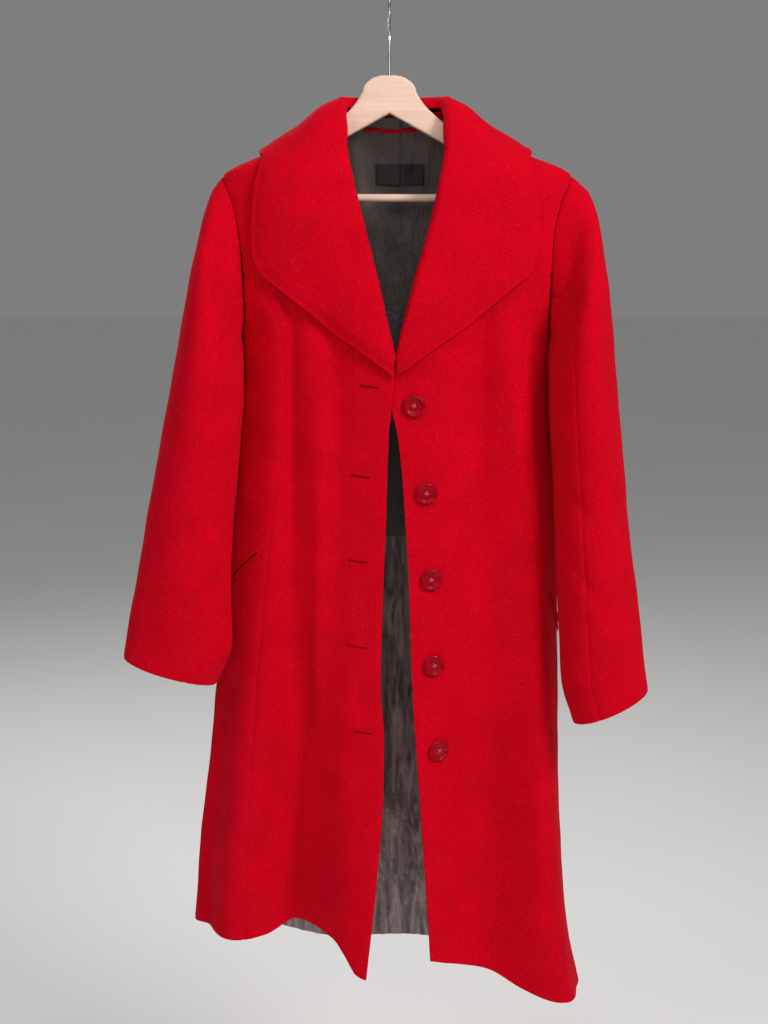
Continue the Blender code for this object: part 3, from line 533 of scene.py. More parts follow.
def wrap(angle: np.ndarray) -> np.ndarray:
    """Angles in degrees, brought between -180 and 180."""
    return (np.asarray(angle) + 180.0) % 360.0 - 180.0


def hem_drop(around: np.ndarray, level: np.ndarray) -> np.ndarray:
    """How much lower than its level the cloth hangs, growing from the armpit to the hem."""
    share = ease((ARMPIT_LEVEL - level) / (ARMPIT_LEVEL - HEM_LEVEL))
    return table_curve(HEM_HANG, "drop", wrap(around)) * share


def creased(points: np.ndarray, normals: np.ndarray, creases: Sequence[Crease]) -> np.ndarray:
    """How far creases move each point outwards.

    Args:
        points: The cloth's points.
        normals: Their outward directions.
        creases: The listed creases.

    Returns:
        A distance for each point.
    """
    push = np.zeros(points.shape[:-1])
    for crease in creases:
        top = np.array((crease.top_x, crease.top_z))
        run = np.array((crease.low_x, crease.low_z)) - top
        away = points[..., (0, 2)] - top
        share = np.clip((away @ run) / (run @ run), -CREASE_OVERRUN, 1.0 + CREASE_OVERRUN)
        distance = np.linalg.norm(away - share[..., None] * run, axis=-1)
        rising = ease((share + CREASE_OVERRUN) / CREASE_RAMP)
        falling = ease((1.0 + CREASE_OVERRUN - share) / CREASE_RAMP)
        facing = ease(normals[..., 1] * crease.face.value * FACING_SLOPE + FACING_START)
        push += crease.depth * rising * falling * facing * np.exp(-((distance / crease.width) ** 2))
    return push


def rippled(points: np.ndarray, height: float) -> np.ndarray:
    """Small uneven swells that keep a large panel from looking moulded."""
    x, y, z = points[..., 0], points[..., 1], points[..., 2]
    return height * (
        np.sin(41.0 * x + 17.0 * z + 2.0 * np.sin(23.0 * z))
        + 0.7 * np.sin(67.0 * x - 29.0 * z + 31.0 * y + 1.3)
        + 0.5 * np.sin(111.0 * z + 53.0 * x + 1.7 * np.sin(37.0 * x))
    )


def settled(points: np.ndarray, normals: np.ndarray, push: np.ndarray) -> np.ndarray:
    """Cloth moved outwards, with its two side borders drawn in by half the seam gap."""
    gap = np.zeros(points.shape[:2])
    gap[:, 0], gap[:, -1] = SEAM_GAP / 2, -SEAM_GAP / 2
    along = unit(np.gradient(points, axis=1))
    return points + normals * push[..., None] + along * gap[..., None]


@dataclass(frozen=True)
class CoatForm:
    """The outside of the coat's body, as a surface of angles and levels."""

    roll_inset: float = 0.0040
    inset_height: float = 0.024
    tuck_depth: float = 0.0060
    tuck_level: float = -0.440
    tuck_height: float = 0.045
    tuck_spread: float = 11.0
    probe_turn: float = 0.8
    probe_step: float = 0.0015

    def push(self, around: np.ndarray, level: np.ndarray) -> np.ndarray:
        """How far the folds and swells move the cloth outwards."""
        total = np.zeros(np.broadcast(around, level).shape)
        for fold in FOLDS:
            share = ease((fold.start - level) / (fold.start - HEM_LEVEL))
            centre = fold.top + (fold.hem - fold.top) * share
            away = wrap(around - centre) / fold.spread
            total = total + fold.depth * share * np.exp(-away * away)
        for swell in SWELLS:
            across = wrap(around - swell.around) / swell.spread
            up = (level - swell.level) / swell.height
            total = total + swell.depth * np.exp(-across * across - up * up)
        return total

    def points(self, around: np.ndarray, level: np.ndarray, tucked: bool = False) -> np.ndarray:
        """Points of the surface.

        Args:
            around: Angles in degrees.
            level: Levels, of the same shape.
            tucked: Whether the centre front passes behind the other front's edge.

        Returns:
            An array of positions.
        """
        angle = np.radians(around)
        sine, cosine = np.sin(angle), np.cos(angle)
        right = table_curve(SECTIONS, "right", level)
        left = table_curve(SECTIONS, "left", level)
        half = np.where(sine > 0.0, right, left)
        front = table_curve(SECTIONS, "front", level)
        back = table_curve(SECTIONS, "back", level)
        depth = np.where(cosine > 0.0, front, back)
        push = self.push(around, level)
        outward = unit(np.stack((depth * sine, -half * cosine), axis=-1))
        x = CENTRE_X + half * sine + outward[..., 0] * push
        y = -depth * cosine + outward[..., 1] * push
        if tucked:
            up = (level - self.tuck_level) / self.tuck_height
            across = wrap(around) / self.tuck_spread
            low = level <= LAPEL_BOTTOM + self.tuck_height
            y = y + np.where(low, self.tuck_depth * np.exp(-up * up - across * across), 0.0)
        z = level - hem_drop(around, level)
        return np.stack(np.broadcast_arrays(x, y, z), axis=-1)

    def normals(self, around: np.ndarray, level: np.ndarray, tucked: bool = False) -> np.ndarray:
        """Outward directions of the surface at angles and levels."""
        around, level = np.broadcast_arrays(np.asarray(around, float), np.asarray(level, float))
        after = self.points(around + self.probe_turn, level, tucked)
        across = after - self.points(around - self.probe_turn, level, tucked)
        high = np.minimum(level + self.probe_step, NECK_LEVEL)
        low = np.maximum(level - self.probe_step, HEM_LEVEL)
        up = self.points(around, high, tucked) - self.points(around, low, tucked)
        return unit(np.cross(across, up))

    def angle(
        self, distance: np.ndarray, level: np.ndarray, side: Side, back: bool = False
    ) -> np.ndarray:
        """The angle whose point lies a distance from the centre line on one side."""
        half = table_curve(SECTIONS, side.word, level)
        found = np.degrees(np.arcsin(np.clip(distance / half, -1.0, 1.0)))
        return side.value * (180.0 - found if back else found)

    def armhole(self, level: np.ndarray, side: Side, back: bool = False) -> np.ndarray:
        """The angle of the armhole, or of the shoulder or side seam above and below it."""
        distance = table_curve(SEAMS, f"armhole_{side.word}", level)
        found = self.angle(distance, level, side, back)
        whole = (level >= SHOULDER_LEVEL) | (level <= ARMPIT_LEVEL)
        return np.where(whole, side.value * 90.0, found)

    def princess(self, level: np.ndarray, side: Side, back: bool = False) -> np.ndarray:
        """The angle of a princess seam."""
        column = "back" if back else f"front_{side.word}"
        return self.angle(table_curve(SEAMS, column, level), level, side, back)

    def front_edge(self, level: np.ndarray, side: Side) -> np.ndarray:
        """The angle of a front edge, which lies inside the roll above the lapel's foot."""
        distance = table_curve(FRONT_EDGES, side.word, level)
        inset = self.roll_inset * ease((level - LAPEL_BOTTOM) / self.inset_height)
        return self.angle(distance + inset, level, side)


FORM = CoatForm()


class Recipe:
    """A node material under construction."""

    def __init__(self, name: str) -> None:
        """Start a Principled material.

        Args:
            name: The material's name.
        """
        self.material = bpy.data.materials.new(name)
        self.material.use_nodes = True
        self.tree = self.material.node_tree
        self.shader = self.tree.nodes["Principled BSDF"]
        self.place = self.tree.nodes.new("ShaderNodeTexCoord")

    def node(self, kind: str, **settings: object) -> bpy.types.Node:
        """Add a node and set its options."""
        made = self.tree.nodes.new(kind)
        for key, value in settings.items():
            setattr(made, key, value)
        return made

    def link(self, source: bpy.types.NodeSocket, target: bpy.types.NodeSocket) -> None:
        """Join two sockets."""
        self.tree.links.new(source, target)

    def paint(self, colour: bpy.types.NodeSocket) -> None:
        """Give the shader its base colour."""
        self.link(colour, self.shader.inputs["Base Color"])

    def surface(self, **values: float | tuple[float, ...]) -> None:
        """Set the shader's own sockets, with spaces in their names as underscores."""
        for key, value in values.items():
            self.shader.inputs[key.replace("_", " ")].default_value = value

    def noise(
        self,
        scale: float,
        detail: float = 2.0,
        stretch: Triple = (1.0, 1.0, 1.0),
        distortion: float = 0.0,
    ) -> bpy.types.NodeSocket:
        """Noise in metres on the piece's own coordinates.

        Args:
            scale: Cells to a metre.
            detail: Octaves of detail.
            stretch: How much the noise is squeezed along each axis.
            distortion: How much it is warped.

        Returns:
            The noise's value socket.
        """
        mapping = self.node("ShaderNodeMapping")
        mapping.inputs["Scale"].default_value = stretch
        self.link(self.place.outputs["Object"], mapping.inputs["Vector"])
        texture = self.node("ShaderNodeTexNoise")
        texture.inputs["Scale"].default_value = scale
        texture.inputs["Detail"].default_value = detail
        texture.inputs["Distortion"].default_value = distortion
        self.link(mapping.outputs["Vector"], texture.inputs["Vector"])
        return texture.outputs["Fac"]

    def ramp(
        self, source: bpy.types.NodeSocket, stops: Sequence[tuple[float, tuple]]
    ) -> bpy.types.NodeSocket:
        """Colours by a value.

        Args:
            source: The value.
            stops: Pairs of a place from 0 to 1 and a colour.

        Returns:
            The colour socket.
        """
        node = self.node("ShaderNodeValToRGB")
        elements = node.color_ramp.elements
        while len(elements) < len(stops):
            elements.new(0.5)
        for element, (place, colour) in zip(elements, stops):
            element.position = place
            element.color = (*colour, 1.0)
        self.link(source, node.inputs["Fac"])
        return node.outputs["Color"]

    def mix(
        self,
        share: bpy.types.NodeSocket | float,
        low: bpy.types.NodeSocket | tuple,
        high: bpy.types.NodeSocket | tuple,
        blend: str = "MIX",
    ) -> bpy.types.NodeSocket:
        """Blend two colours.

        Args:
            share: How much of the second shows.
            low: The first colour or socket.
            high: The second.
            blend: How they are blended.

        Returns:
            The colour socket.
        """
        node = self.node("ShaderNodeMix", data_type="RGBA", blend_type=blend)
        if isinstance(share, float):
            node.inputs["Factor"].default_value = share
        else:
            self.link(share, node.inputs["Factor"])
        for value, socket in ((low, node.inputs["A"]), (high, node.inputs["B"])):
            if isinstance(value, tuple):
                socket.default_value = (*value, 1.0)
            else:
                self.link(value, socket)
        return node.outputs["Result"]

    def math(
        self,
        operation: str,
        first: bpy.types.NodeSocket | float,
        second: bpy.types.NodeSocket | float,
    ) -> bpy.types.NodeSocket:
        """Arithmetic on values or sockets."""
        node = self.node("ShaderNodeMath", operation=operation)
        for value, socket in zip((first, second), node.inputs):
            if isinstance(value, float):
                socket.default_value = value
            else:
                self.link(value, socket)
        return node.outputs["Value"]

    def bump(self, heights: Sequence[tuple[bpy.types.NodeSocket, float]]) -> None:
        """Relief from several height values.

        Args:
            heights: Pairs of a value socket and its height in metres.
        """
        before = None
        for value, height in heights:
            node = self.node("ShaderNodeBump")
            node.inputs["Distance"].default_value = height
            node.inputs["Strength"].default_value = 1.0
            self.link(value, node.inputs["Height"])
            if before is not None:
                self.link(before, node.inputs["Normal"])
            before = node.outputs["Normal"]
        self.link(before, self.shader.inputs["Normal"])


@dataclass(frozen=True)
class RedWool:
    """Napped wool with small bright nubs in a deep red ground; the brightest nubs are partly
    painted highlight, the sparkle of lit fibres.
    """

    deep: Triple = (0.52, 0.000, 0.008)
    ground: Triple = (0.64, 0.000, 0.011)
    # Lightest nub colour: partly the nubs' own tone, partly painted highlight for the sparkle of
    # lit fibres.
    nub_sparkle: Triple = (0.86, 0.004, 0.026)
    nub_scale: float = 700.0
    nap_scale: float = 1500.0
    cloud_scale: float = 26.0
    grain: Triple = (1.0, 1.0, 0.55)

    def make(self) -> bpy.types.Material:
        """Build the material."""
        recipe = Recipe("red_wool_cloth")
        nub_sparkle_noise = recipe.noise(self.nub_scale, 3.0, self.grain, 0.6)
        nap = recipe.noise(self.nap_scale, 2.0, self.grain)
        cloud = recipe.noise(self.cloud_scale, 3.0)
        # The top stop paints the sparkle of lit fibres as well as the nubs' lighter tone.
        stops = ((0.30, self.deep), (0.48, self.ground), (0.58, self.ground), (0.72, self.nub_sparkle))
        body = recipe.ramp(nub_sparkle_noise, stops)
        shade = recipe.ramp(cloud, ((0.35, (0.90, 0.90, 0.90)), (0.65, (1.0, 1.0, 1.0))))
        recipe.paint(recipe.mix(1.0, body, shade, "MULTIPLY"))
        recipe.surface(
            Roughness=0.92,
            Specular_IOR_Level=0.05,
            Sheen_Weight=0.14,
            Sheen_Roughness=0.5,
            Sheen_Tint=(1.0, 0.04, 0.08, 1.0),
        )
        recipe.bump(((nub_sparkle_noise, 0.0005), (nap, 0.00025)))
        return recipe.material


@dataclass(frozen=True)
class Satin:
    """Dark lining: a brown-black satin above the waist seam and a greyer taffeta below, streaked
    with painted shade and sheen along its crinkles.
    """

    upper: Triple = (0.085, 0.066, 0.060)
    lower: Triple = (0.340, 0.268, 0.255)
    # Painted shade in the taffeta's crinkles.
    shadow: Triple = (0.095, 0.074, 0.070)
    seam_z: float = WAIST_SEAM_LEVEL

    def make(self) -> bpy.types.Material:
        """Build the material."""
        recipe = Recipe("satin_lining")
        split = recipe.node("ShaderNodeSeparateXYZ")
        recipe.link(recipe.place.outputs["Object"], split.inputs["Vector"])
        below = recipe.math("LESS_THAN", split.outputs["Z"], self.seam_z)
        # Below the waist seam, streaks between painted shade and the taffeta's grey stand in for
        # the shade and sheen of its crinkles.
        crinkle_shade_noise = recipe.noise(95.0, 4.0, (1.0, 1.0, 0.16), 1.0)
        crinkle_shade_and_sheen = recipe.ramp(crinkle_shade_noise, ((0.36, self.shadow), (0.64, self.lower)))
        recipe.paint(recipe.mix(below, self.upper, crinkle_shade_and_sheen))
        recipe.surface(
            Roughness=0.38, Specular_IOR_Level=0.5, Sheen_Weight=0.20, Sheen_Roughness=0.3
        )
        crinkle = recipe.noise(95.0, 4.0, (1.0, 1.0, 0.35), 1.2)
        fine = recipe.noise(420.0, 2.0, (1.0, 1.0, 0.5), 0.8)
        strength = recipe.math("ADD", recipe.math("MULTIPLY", below, 0.8), 0.25)
        deeper = recipe.math("MULTIPLY", crinkle, strength)
        weave = recipe.noise(2600.0, 1.0, (1.0, 1.0, 0.2))
        recipe.bump(((deeper, 0.0050), (fine, 0.0005), (weave, 0.0001)))
        return recipe.material


@dataclass(frozen=True)
class LabelTape:
    """Bare woven black tape."""

    ground: Triple = (0.010, 0.009, 0.009)
    rib: Triple = (0.028, 0.025, 0.024)
    ribs: float = 1500.0

    def make(self) -> bpy.types.Material:
        """Build the material."""
        recipe = Recipe("bare_label_tape")
        weave = recipe.noise(self.ribs, 1.0, (1.0, 1.0, 0.35))
        recipe.paint(recipe.ramp(weave, ((0.4, self.ground), (0.6, self.rib))))
        recipe.surface(Roughness=0.5, Specular_IOR_Level=0.4, Sheen_Weight=0.2)
        recipe.bump(((weave, 0.00025),))
        return recipe.material


@dataclass(frozen=True)
class CastButton:
    """Polished cast resin in a dark, slightly cloudy red."""

    deep: Triple = (0.26, 0.000, 0.006)
    bright: Triple = (0.42, 0.001, 0.012)

    def make(self) -> bpy.types.Material:
        """Build the material."""
        recipe = Recipe("cast_red_button")
        cloud = recipe.noise(260.0, 3.0, distortion=0.8)
        recipe.paint(recipe.ramp(cloud, ((0.35, self.deep), (0.65, self.bright))))
        recipe.surface(
            Roughness=0.22, Coat_Weight=0.03, Coat_Roughness=0.08, Specular_IOR_Level=0.10
        )
        recipe.bump(((recipe.noise(900.0, 2.0), 0.00005),))
        return recipe.material


@dataclass(frozen=True)
class Thread:
    """Twisted polyester thread; in near black it is also painted shade for the insides of slits."""

    colour: Triple = (0.30, 0.001, 0.008)
    name: str = "red_thread"

    def make(self) -> bpy.types.Material:
        """Build the material."""
        recipe = Recipe(self.name)
        twist = recipe.noise(3200.0, 1.0)
        darker = tuple(0.6 * part for part in self.colour)
        recipe.paint(recipe.ramp(twist, ((0.35, darker), (0.6, self.colour))))
        recipe.surface(Roughness=0.85, Specular_IOR_Level=0.03)
        recipe.bump(((twist, 0.0001),))
        return recipe.material


@dataclass(frozen=True)
class PaleWood:
    """Bleached beech with long faint grain and short pale flecks, under a satin lacquer."""

    light: Triple = (0.88, 0.62, 0.48)
    dark: Triple = (0.80, 0.53, 0.40)
    fleck: Triple = (0.66, 0.42, 0.31)

    def make(self) -> bpy.types.Material:
        """Build the material."""
        recipe = Recipe("bleached_beech")
        grain = recipe.noise(60.0, 4.0, (0.16, 3.0, 3.0), 0.7)
        flecks = recipe.noise(420.0, 1.0, (0.12, 1.2, 1.2))
        base = recipe.ramp(grain, ((0.30, self.dark), (0.62, self.light)))
        spots = recipe.ramp(flecks, ((0.66, (0.0, 0.0, 0.0)), (0.74, (0.35, 0.35, 0.35))))
        recipe.paint(recipe.mix(spots, base, self.fleck))
        recipe.surface(Roughness=0.42, Specular_IOR_Level=0.4, Coat_Weight=0.15, Coat_Roughness=0.3)
        recipe.bump(((grain, 0.00025), (flecks, 0.0001)))
        return recipe.material


@dataclass(frozen=True)
class DrawnWire:
    """Bright drawn steel wire with fine lengthwise marks."""

    colour: Triple = (0.66, 0.65, 0.64)

    def make(self) -> bpy.types.Material:
        """Build the material."""
        recipe = Recipe("drawn_steel_wire")
        marks = recipe.noise(900.0, 3.0, (3.0, 3.0, 0.2))
        dull = tuple(0.75 * part for part in self.colour)
        recipe.paint(recipe.ramp(marks, ((0.3, dull), (0.7, self.colour))))
        recipe.surface(Metallic=1.0, Roughness=0.24)
        recipe.bump(((marks, 0.00004),))
        return recipe.material


@dataclass(frozen=True)
class PaleFloor:
    """Matt pale studio floor with a barely uneven tone."""

    colour: Triple = (0.93, 0.93, 0.92)

    def make(self) -> bpy.types.Material:
        """Build the material."""
        recipe = Recipe("pale_floor")
        tone = recipe.noise(2.0, 2.0)
        lower = tuple(0.98 * part for part in self.colour)
        recipe.paint(recipe.ramp(tone, ((0.3, lower), (0.7, self.colour))))
        recipe.surface(Roughness=0.8)
        return recipe.material


@dataclass(frozen=True)
class Finishes:
    """The materials of the whole object."""

    wool: bpy.types.Material
    satin: bpy.types.Material
    tape: bpy.types.Material
    button: bpy.types.Material
    thread: bpy.types.Material
    pale_thread: bpy.types.Material
    dark_thread: bpy.types.Material
    wood: bpy.types.Material
    wire: bpy.types.Material

    @classmethod
    def mix_all(cls) -> Finishes:
        """Build every material once."""
        return cls(
            wool=RedWool().make(),
            satin=Satin().make(),
            tape=LabelTape().make(),
            button=CastButton().make(),
            thread=Thread().make(),
            pale_thread=Thread((0.62, 0.16, 0.15), "button_thread").make(),
            # Near black strip material: painted shade for the insides of pocket and buttonhole
            # slits.
            dark_thread=Thread((0.060, 0.000, 0.002), "shadowed_slit").make(),
            wood=PaleWood().make(),
            wire=DrawnWire().make(),
        )


def mesh_object(name: str, shape: bmesh.types.BMesh) -> bpy.types.Object:
    """Put a finished bmesh, which is freed, into the scene as an object."""
    mesh = bpy.data.meshes.new(name)
    shape.to_mesh(mesh)
    shape.free()
    made = bpy.data.objects.new(name, mesh)
    bpy.context.scene.collection.objects.link(made)
    return made


def weld(shape: bmesh.types.BMesh, distance: float = 1e-6) -> None:
    """Join the points that meet and turn all faces outwards."""
    bmesh.ops.remove_doubles(shape, verts=shape.verts[:], dist=distance)
    bmesh.ops.recalc_face_normals(shape, faces=shape.faces[:])


def applied_mesh(source: bpy.types.Object) -> bpy.types.Mesh:
    """A new mesh of an object with its modifiers or curve options applied."""
    bpy.context.view_layer.update()
    graph = bpy.context.evaluated_depsgraph_get()
    return bpy.data.meshes.new_from_object(source.evaluated_get(graph))


def bezier_curve(
    name: str, route: Sequence[tuple[float, float, float, str]], **settings: object
) -> bpy.types.Curve:
    """Make a curve.

    Args:
        name: The curve's name.
        route: Its points, each with the kind of its handles.
        settings: The curve's options.

    Returns:
        The curve, not yet in an object.
    """
    curve = bpy.data.curves.new(name, "CURVE")
    for key, value in settings.items():
        setattr(curve, key, value)
    spline = curve.splines.new("BEZIER")
    spline.bezier_points.add(len(route) - 1)
    for point, (x, y, z, kind) in zip(spline.bezier_points, route):
        point.co = (x, y, z)
        point.handle_left_type = kind
        point.handle_right_type = kind
    return curve


def add_piece(
    name: str, shape: bmesh.types.BMesh, material: bpy.types.Material
) -> bpy.types.Object:
    """Turn a bmesh into a smooth piece of the coat.

    Args:
        name: The piece's name.
        shape: The finished bmesh, which is freed.
        material: Its material.

    Returns:
        The new object, riding on the coat.
    """
    made = mesh_object(name, shape)
    made.data.shade_smooth()
    made.data.materials.append(material)
    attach(made, BODY)
    return made


def cloth_mesh(points: np.ndarray) -> bmesh.types.BMesh:
    """Lay a grid of cloth on points, with a UV map in metres.

    Args:
        points: Rows that run down and columns that run round, seen from outside left to right.

    Returns:
        An open bmesh whose faces look outwards.
    """
    rows, columns = points.shape[:2]
    shape = bmesh.new()
    bmesh.ops.create_grid(shape, x_segments=columns - 1, y_segments=rows - 1, size=1.0)
    across = arc_lengths(points, 1)
    down = arc_lengths(points, 0)
    layer = shape.loops.layers.uv.new("cloth")
    spots = {}
    for vertex in shape.verts:
        j = round((vertex.co.x + 1.0) / 2.0 * (columns - 1))
        i = rows - 1 - round((vertex.co.y + 1.0) / 2.0 * (rows - 1))
        spots[vertex] = (i, j)
    for face in shape.faces:
        for loop in face.loops:
            i, j = spots[loop.vert]
            loop[layer].uv = (across[i, j], -down[i, j])
    for vertex, (i, j) in spots.items():
        vertex.co = points[i, j]
    return shape


def add_slit(name: str, points: np.ndarray, finishes: Finishes) -> bpy.types.Object:
    """Lay a strip of painted shade in an opening, in place of its shadowed inside."""
    slit = add_piece(name, cloth_mesh(points), finishes.dark_thread)
    return slit


@dataclass
class Cloth:
    """A panel of cloth: a grid of points made into a thin wall with soft rims."""

    name: str
    points: np.ndarray
    material: bpy.types.Material
    slot: str
    node: str
    thickness: float = WOOL
    rim: float = 0.0006
    held: str = "hung"
    rests_on: tuple[str, ...] = ("hanger_body",)
    ease_across: float = 1.02
    ease_along: float = 1.01

    def area(self) -> float:
        """The panel's area in square metres."""
        corners = self.points[:-1, :-1]
        normals = np.cross(self.points[1:, :-1] - corners, self.points[:-1, 1:] - corners)
        return float(np.linalg.norm(normals, axis=-1).sum())

    def flat(self) -> tuple[float, float]:
        """The width and length that the panel was cut to."""
        width = float(arc_lengths(self.points, 1)[:, -1].max())
        length = float(arc_lengths(self.points, 0)[-1].max())
        return width * self.ease_across, length * self.ease_along

    def build(self, with_pieces: Sequence[bpy.types.Object] = ()) -> bpy.types.Object:
        """Make the piece, in place of its CAD node.

        Args:
            with_pieces: Small pieces laid on it; not used.

        Returns:
            The piece.
        """
        made = add_piece(self.name, cloth_mesh(self.points), self.material)
        wall = made.modifiers.new("wall", "SOLIDIFY")
        wall.thickness = self.thickness
        wall.offset = -1.0
        if self.rim > 0.0:
            rim = made.modifiers.new("rim", "BEVEL")
            rim.width = self.rim
            rim.segments = 2
            rim.limit_method = "ANGLE"
            rim.angle_limit = math.radians(50)
        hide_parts(self.node)
        self.flat()
        LOG.info("%s: %.3f square metres", self.name, self.area())
        return made


@dataclass(frozen=True)
class Sewn:
    """Whether a panel's side borders are seams. Its top is always sewn, its low border is free."""

    start: bool = False
    end: bool = False
    dip: float = 0.0009
    reach: float = 0.0024
    swell: float = 0.0004
    swell_inset: float = 0.006
    swell_width: float = 0.005

    def push(self, points: np.ndarray) -> np.ndarray:
        """How far the borders move the cloth: in at a seam, a little out at a free edge."""
        across = arc_lengths(points, 1)
        down = arc_lengths(points, 0)
        total = np.zeros(points.shape[:-1])
        borders = (
            (self.start, across),
            (self.end, across[:, -1:] - across),
            (True, down),
            (False, down[-1:] - down),
        )
        for sewn, distance in borders:
            if sewn:
                total -= self.dip * np.exp(-((distance / self.reach) ** 2))
            else:
                away = (distance - self.swell_inset) / self.swell_width
                total += self.swell * np.exp(-(away**2))
        return total


@dataclass
class Shell:
    """The wool body: fronts, side fronts, side backs and backs."""

    finishes: Finishes
    pitch: float = 0.0046
    row_pitch: float = 0.0055
    ripple: float = 0.00030

    def panel(
        self, levels: np.ndarray, low: np.ndarray, high: np.ndarray, sewn: Sewn, tucked: bool
    ) -> np.ndarray:
        """Points of a panel between two seams, with its creases.

        Args:
            levels: The rows.
            low: The smaller angle of each row.
            high: The larger angle of each row.
            sewn: Which borders are seams.
            tucked: Whether it is the front that passes behind.

        Returns:
            The grid of points.
        """
        middle = len(levels) // 2
        ends = FORM.points(np.linspace(low[middle], high[middle], 9), np.full(9, levels[middle]))
        width = float(arc_lengths(ends[None], 1)[0, -1])
        around, level = coat_grid(levels, low, high, spread(width, self.pitch))
        points = FORM.points(around, level, tucked)
        normals = FORM.normals(around, level, tucked)
        push = creased(points, normals, BODY_CREASES) + rippled(points, self.ripple)
        return settled(points, normals, push + sewn.push(points))

    def build(self) -> None:
        """Make the eight panels."""
        for side in Side:
            left = side is Side.LEFT
            upper = levels_from(FRONT_NECK_LEVEL, self.row_pitch)
            above = upper > PRINCESS_TOP
            outer = np.where(above, FORM.armhole(upper, side), FORM.princess(upper, side))
            inner = FORM.front_edge(upper, side)
            edge_sewn = Sewn(start=left, end=not left)
            self.add(f"front_{side.word}", upper, outer, inner, edge_sewn, not left)
            lower = levels_from(PRINCESS_TOP, self.row_pitch)
            armhole, princess = FORM.armhole(lower, side), FORM.princess(lower, side)
            both = Sewn(start=True, end=True)
            self.add(f"side_front_{side.word}", lower, armhole, princess, both)
            whole = levels_from(NECK_LEVEL, self.row_pitch)
            back_armhole = FORM.armhole(whole, side, back=True)
            back_princess = FORM.princess(whole, side, back=True)
            self.add(f"side_back_{side.word}", whole, back_armhole, back_princess, both)
            centre = np.full(whole.shape, side.value * 180.0)
            self.add(f"back_{side.word}", whole, back_princess, centre, both)

    def add(
        self,
        name: str,
        levels: np.ndarray,
        first: np.ndarray,
        second: np.ndarray,
        sewn: Sewn,
        tucked: bool = False,
    ) -> None:
        """Make one panel between two seams.

        Args:
            name: The panel's CAD node.
            levels: The rows.
            first: The angle of one seam in each row.
            second: The angle of the other, on either side of it.
            sewn: Which borders are seams.
            tucked: Whether it is the front that passes behind.
        """
        low, high = np.minimum(first, second), np.maximum(first, second)
        points = self.panel(levels, low, high, sewn, tucked)
        Cloth(f"{name}_cloth", points, self.finishes.wool, "red_wool", name).build()


def on_wool(
    around: np.ndarray, level: np.ndarray, lift: np.ndarray, tucked: bool = False
) -> np.ndarray:
    """Points at a height above the body's creased wool."""
    points, normals = FORM.points(around, level, tucked), FORM.normals(around, level, tucked)
    push = creased(points, normals, BODY_CREASES) + rippled(points, Shell.ripple)
    return points + normals * (lift + push)[..., None]


@dataclass
class Sleeve:
    """A two-piece sleeve, from the armhole to the cuff."""

    side: Side
    rings: Sequence[Ring]
    creases: Sequence[Crease]
    finishes: Finishes
    seam_turn: float = 113.3
    head_x: float = 0.200
    head_blend: float = 1.35
    pitch: float = 0.0052
    ripple: float = 0.00035
    length: float = 0.60
    upper_width: float = 0.30
    under_width: float = 0.15

    def ring(self, step: np.ndarray, turn: np.ndarray) -> np.ndarray:
        """Points on the sleeve's rings."""
        sign = self.side.value
        out_x = CENTRE_X + sign * table_curve(self.rings, "out_x", step)
        in_x = CENTRE_X + sign * table_curve(self.rings, "in_x", step)
        out_z = table_curve(self.rings, "out_z", step)
        in_z = table_curve(self.rings, "in_z", step)
        cosine, sine = np.cos(np.radians(turn)), np.sin(np.radians(turn))
        x = (out_x + in_x) / 2 + (out_x - in_x) / 2 * cosine
        z = (out_z + in_z) / 2 + (out_z - in_z) / 2 * cosine
        forward = table_curve(self.rings, "forward", step)
        y = -forward - table_curve(self.rings, "depth", step) * sine
        return np.stack((x, y, z), axis=-1)

    def armhole(self, turn: np.ndarray) -> np.ndarray:
        """Points of the armhole, a hair inside its edge."""
        middle = (SHOULDER_LEVEL + ARMPIT_LEVEL) / 2
        half = (SHOULDER_LEVEL - ARMPIT_LEVEL) / 2
        level = middle + half * np.cos(np.radians(turn))
        level = np.clip(level, ARMPIT_LEVEL + 1e-6, SHOULDER_LEVEL - 1e-6)
        back = np.sin(np.radians(turn)) < 0.0
        behind = FORM.armhole(level, self.side, back=True)
        around = np.where(back, behind, FORM.armhole(level, self.side))
        points = FORM.points(around, level)
        normals = FORM.normals(around, level)
        centre = np.array((CENTRE_X + self.side.value * self.head_x, 0.0, middle))
        into = centre - points
        into = unit(into - normals * (into * normals).sum(axis=-1, keepdims=True))
        return points + into * ARMHOLE_GAP

    def points(self, turns: np.ndarray) -> np.ndarray:
        """The whole grid between two seams.

        Args:
            turns: The columns' angles round the sleeve, which rise.

        Returns:
            Rows from the armhole to the cuff.
        """
        steps = spread(self.length, self.pitch) * self.rings[-1].step
        step, turn = np.meshgrid(steps, turns, indexing="ij")
        start = np.broadcast_to(self.armhole(turns)[None], (*step.shape, 3))
        rings = self.ring(np.maximum(step, 1.0), turn)
        share = np.sin(np.clip(step / self.head_blend, 0.0, 1.0) * math.pi / 2)[..., None]
        return start + (rings - start) * share

    def build(self) -> None:
        """Make the upper and the under sleeve."""
        spans = (
            ("upper_sleeve", -self.seam_turn, self.seam_turn, self.upper_width),
            ("under_sleeve", self.seam_turn, 360.0 - self.seam_turn, self.under_width),
        )
        for name, start, end, width in spans:
            turns = start + (end - start) * spread(width, self.pitch)
            points = self.points(turns)
            if self.side is Side.RIGHT:
                points = points[:, ::-1]
            normals = grid_normals(points)
            sewn = Sewn(start=True, end=True)
            push = creased(points, normals, self.creases) + rippled(points, self.ripple)
            points = settled(points, normals, push + sewn.push(points))
            node = f"{name}_{self.side.word}"
            Cloth(f"{node}_cloth", points, self.finishes.wool, "red_wool", node).build()


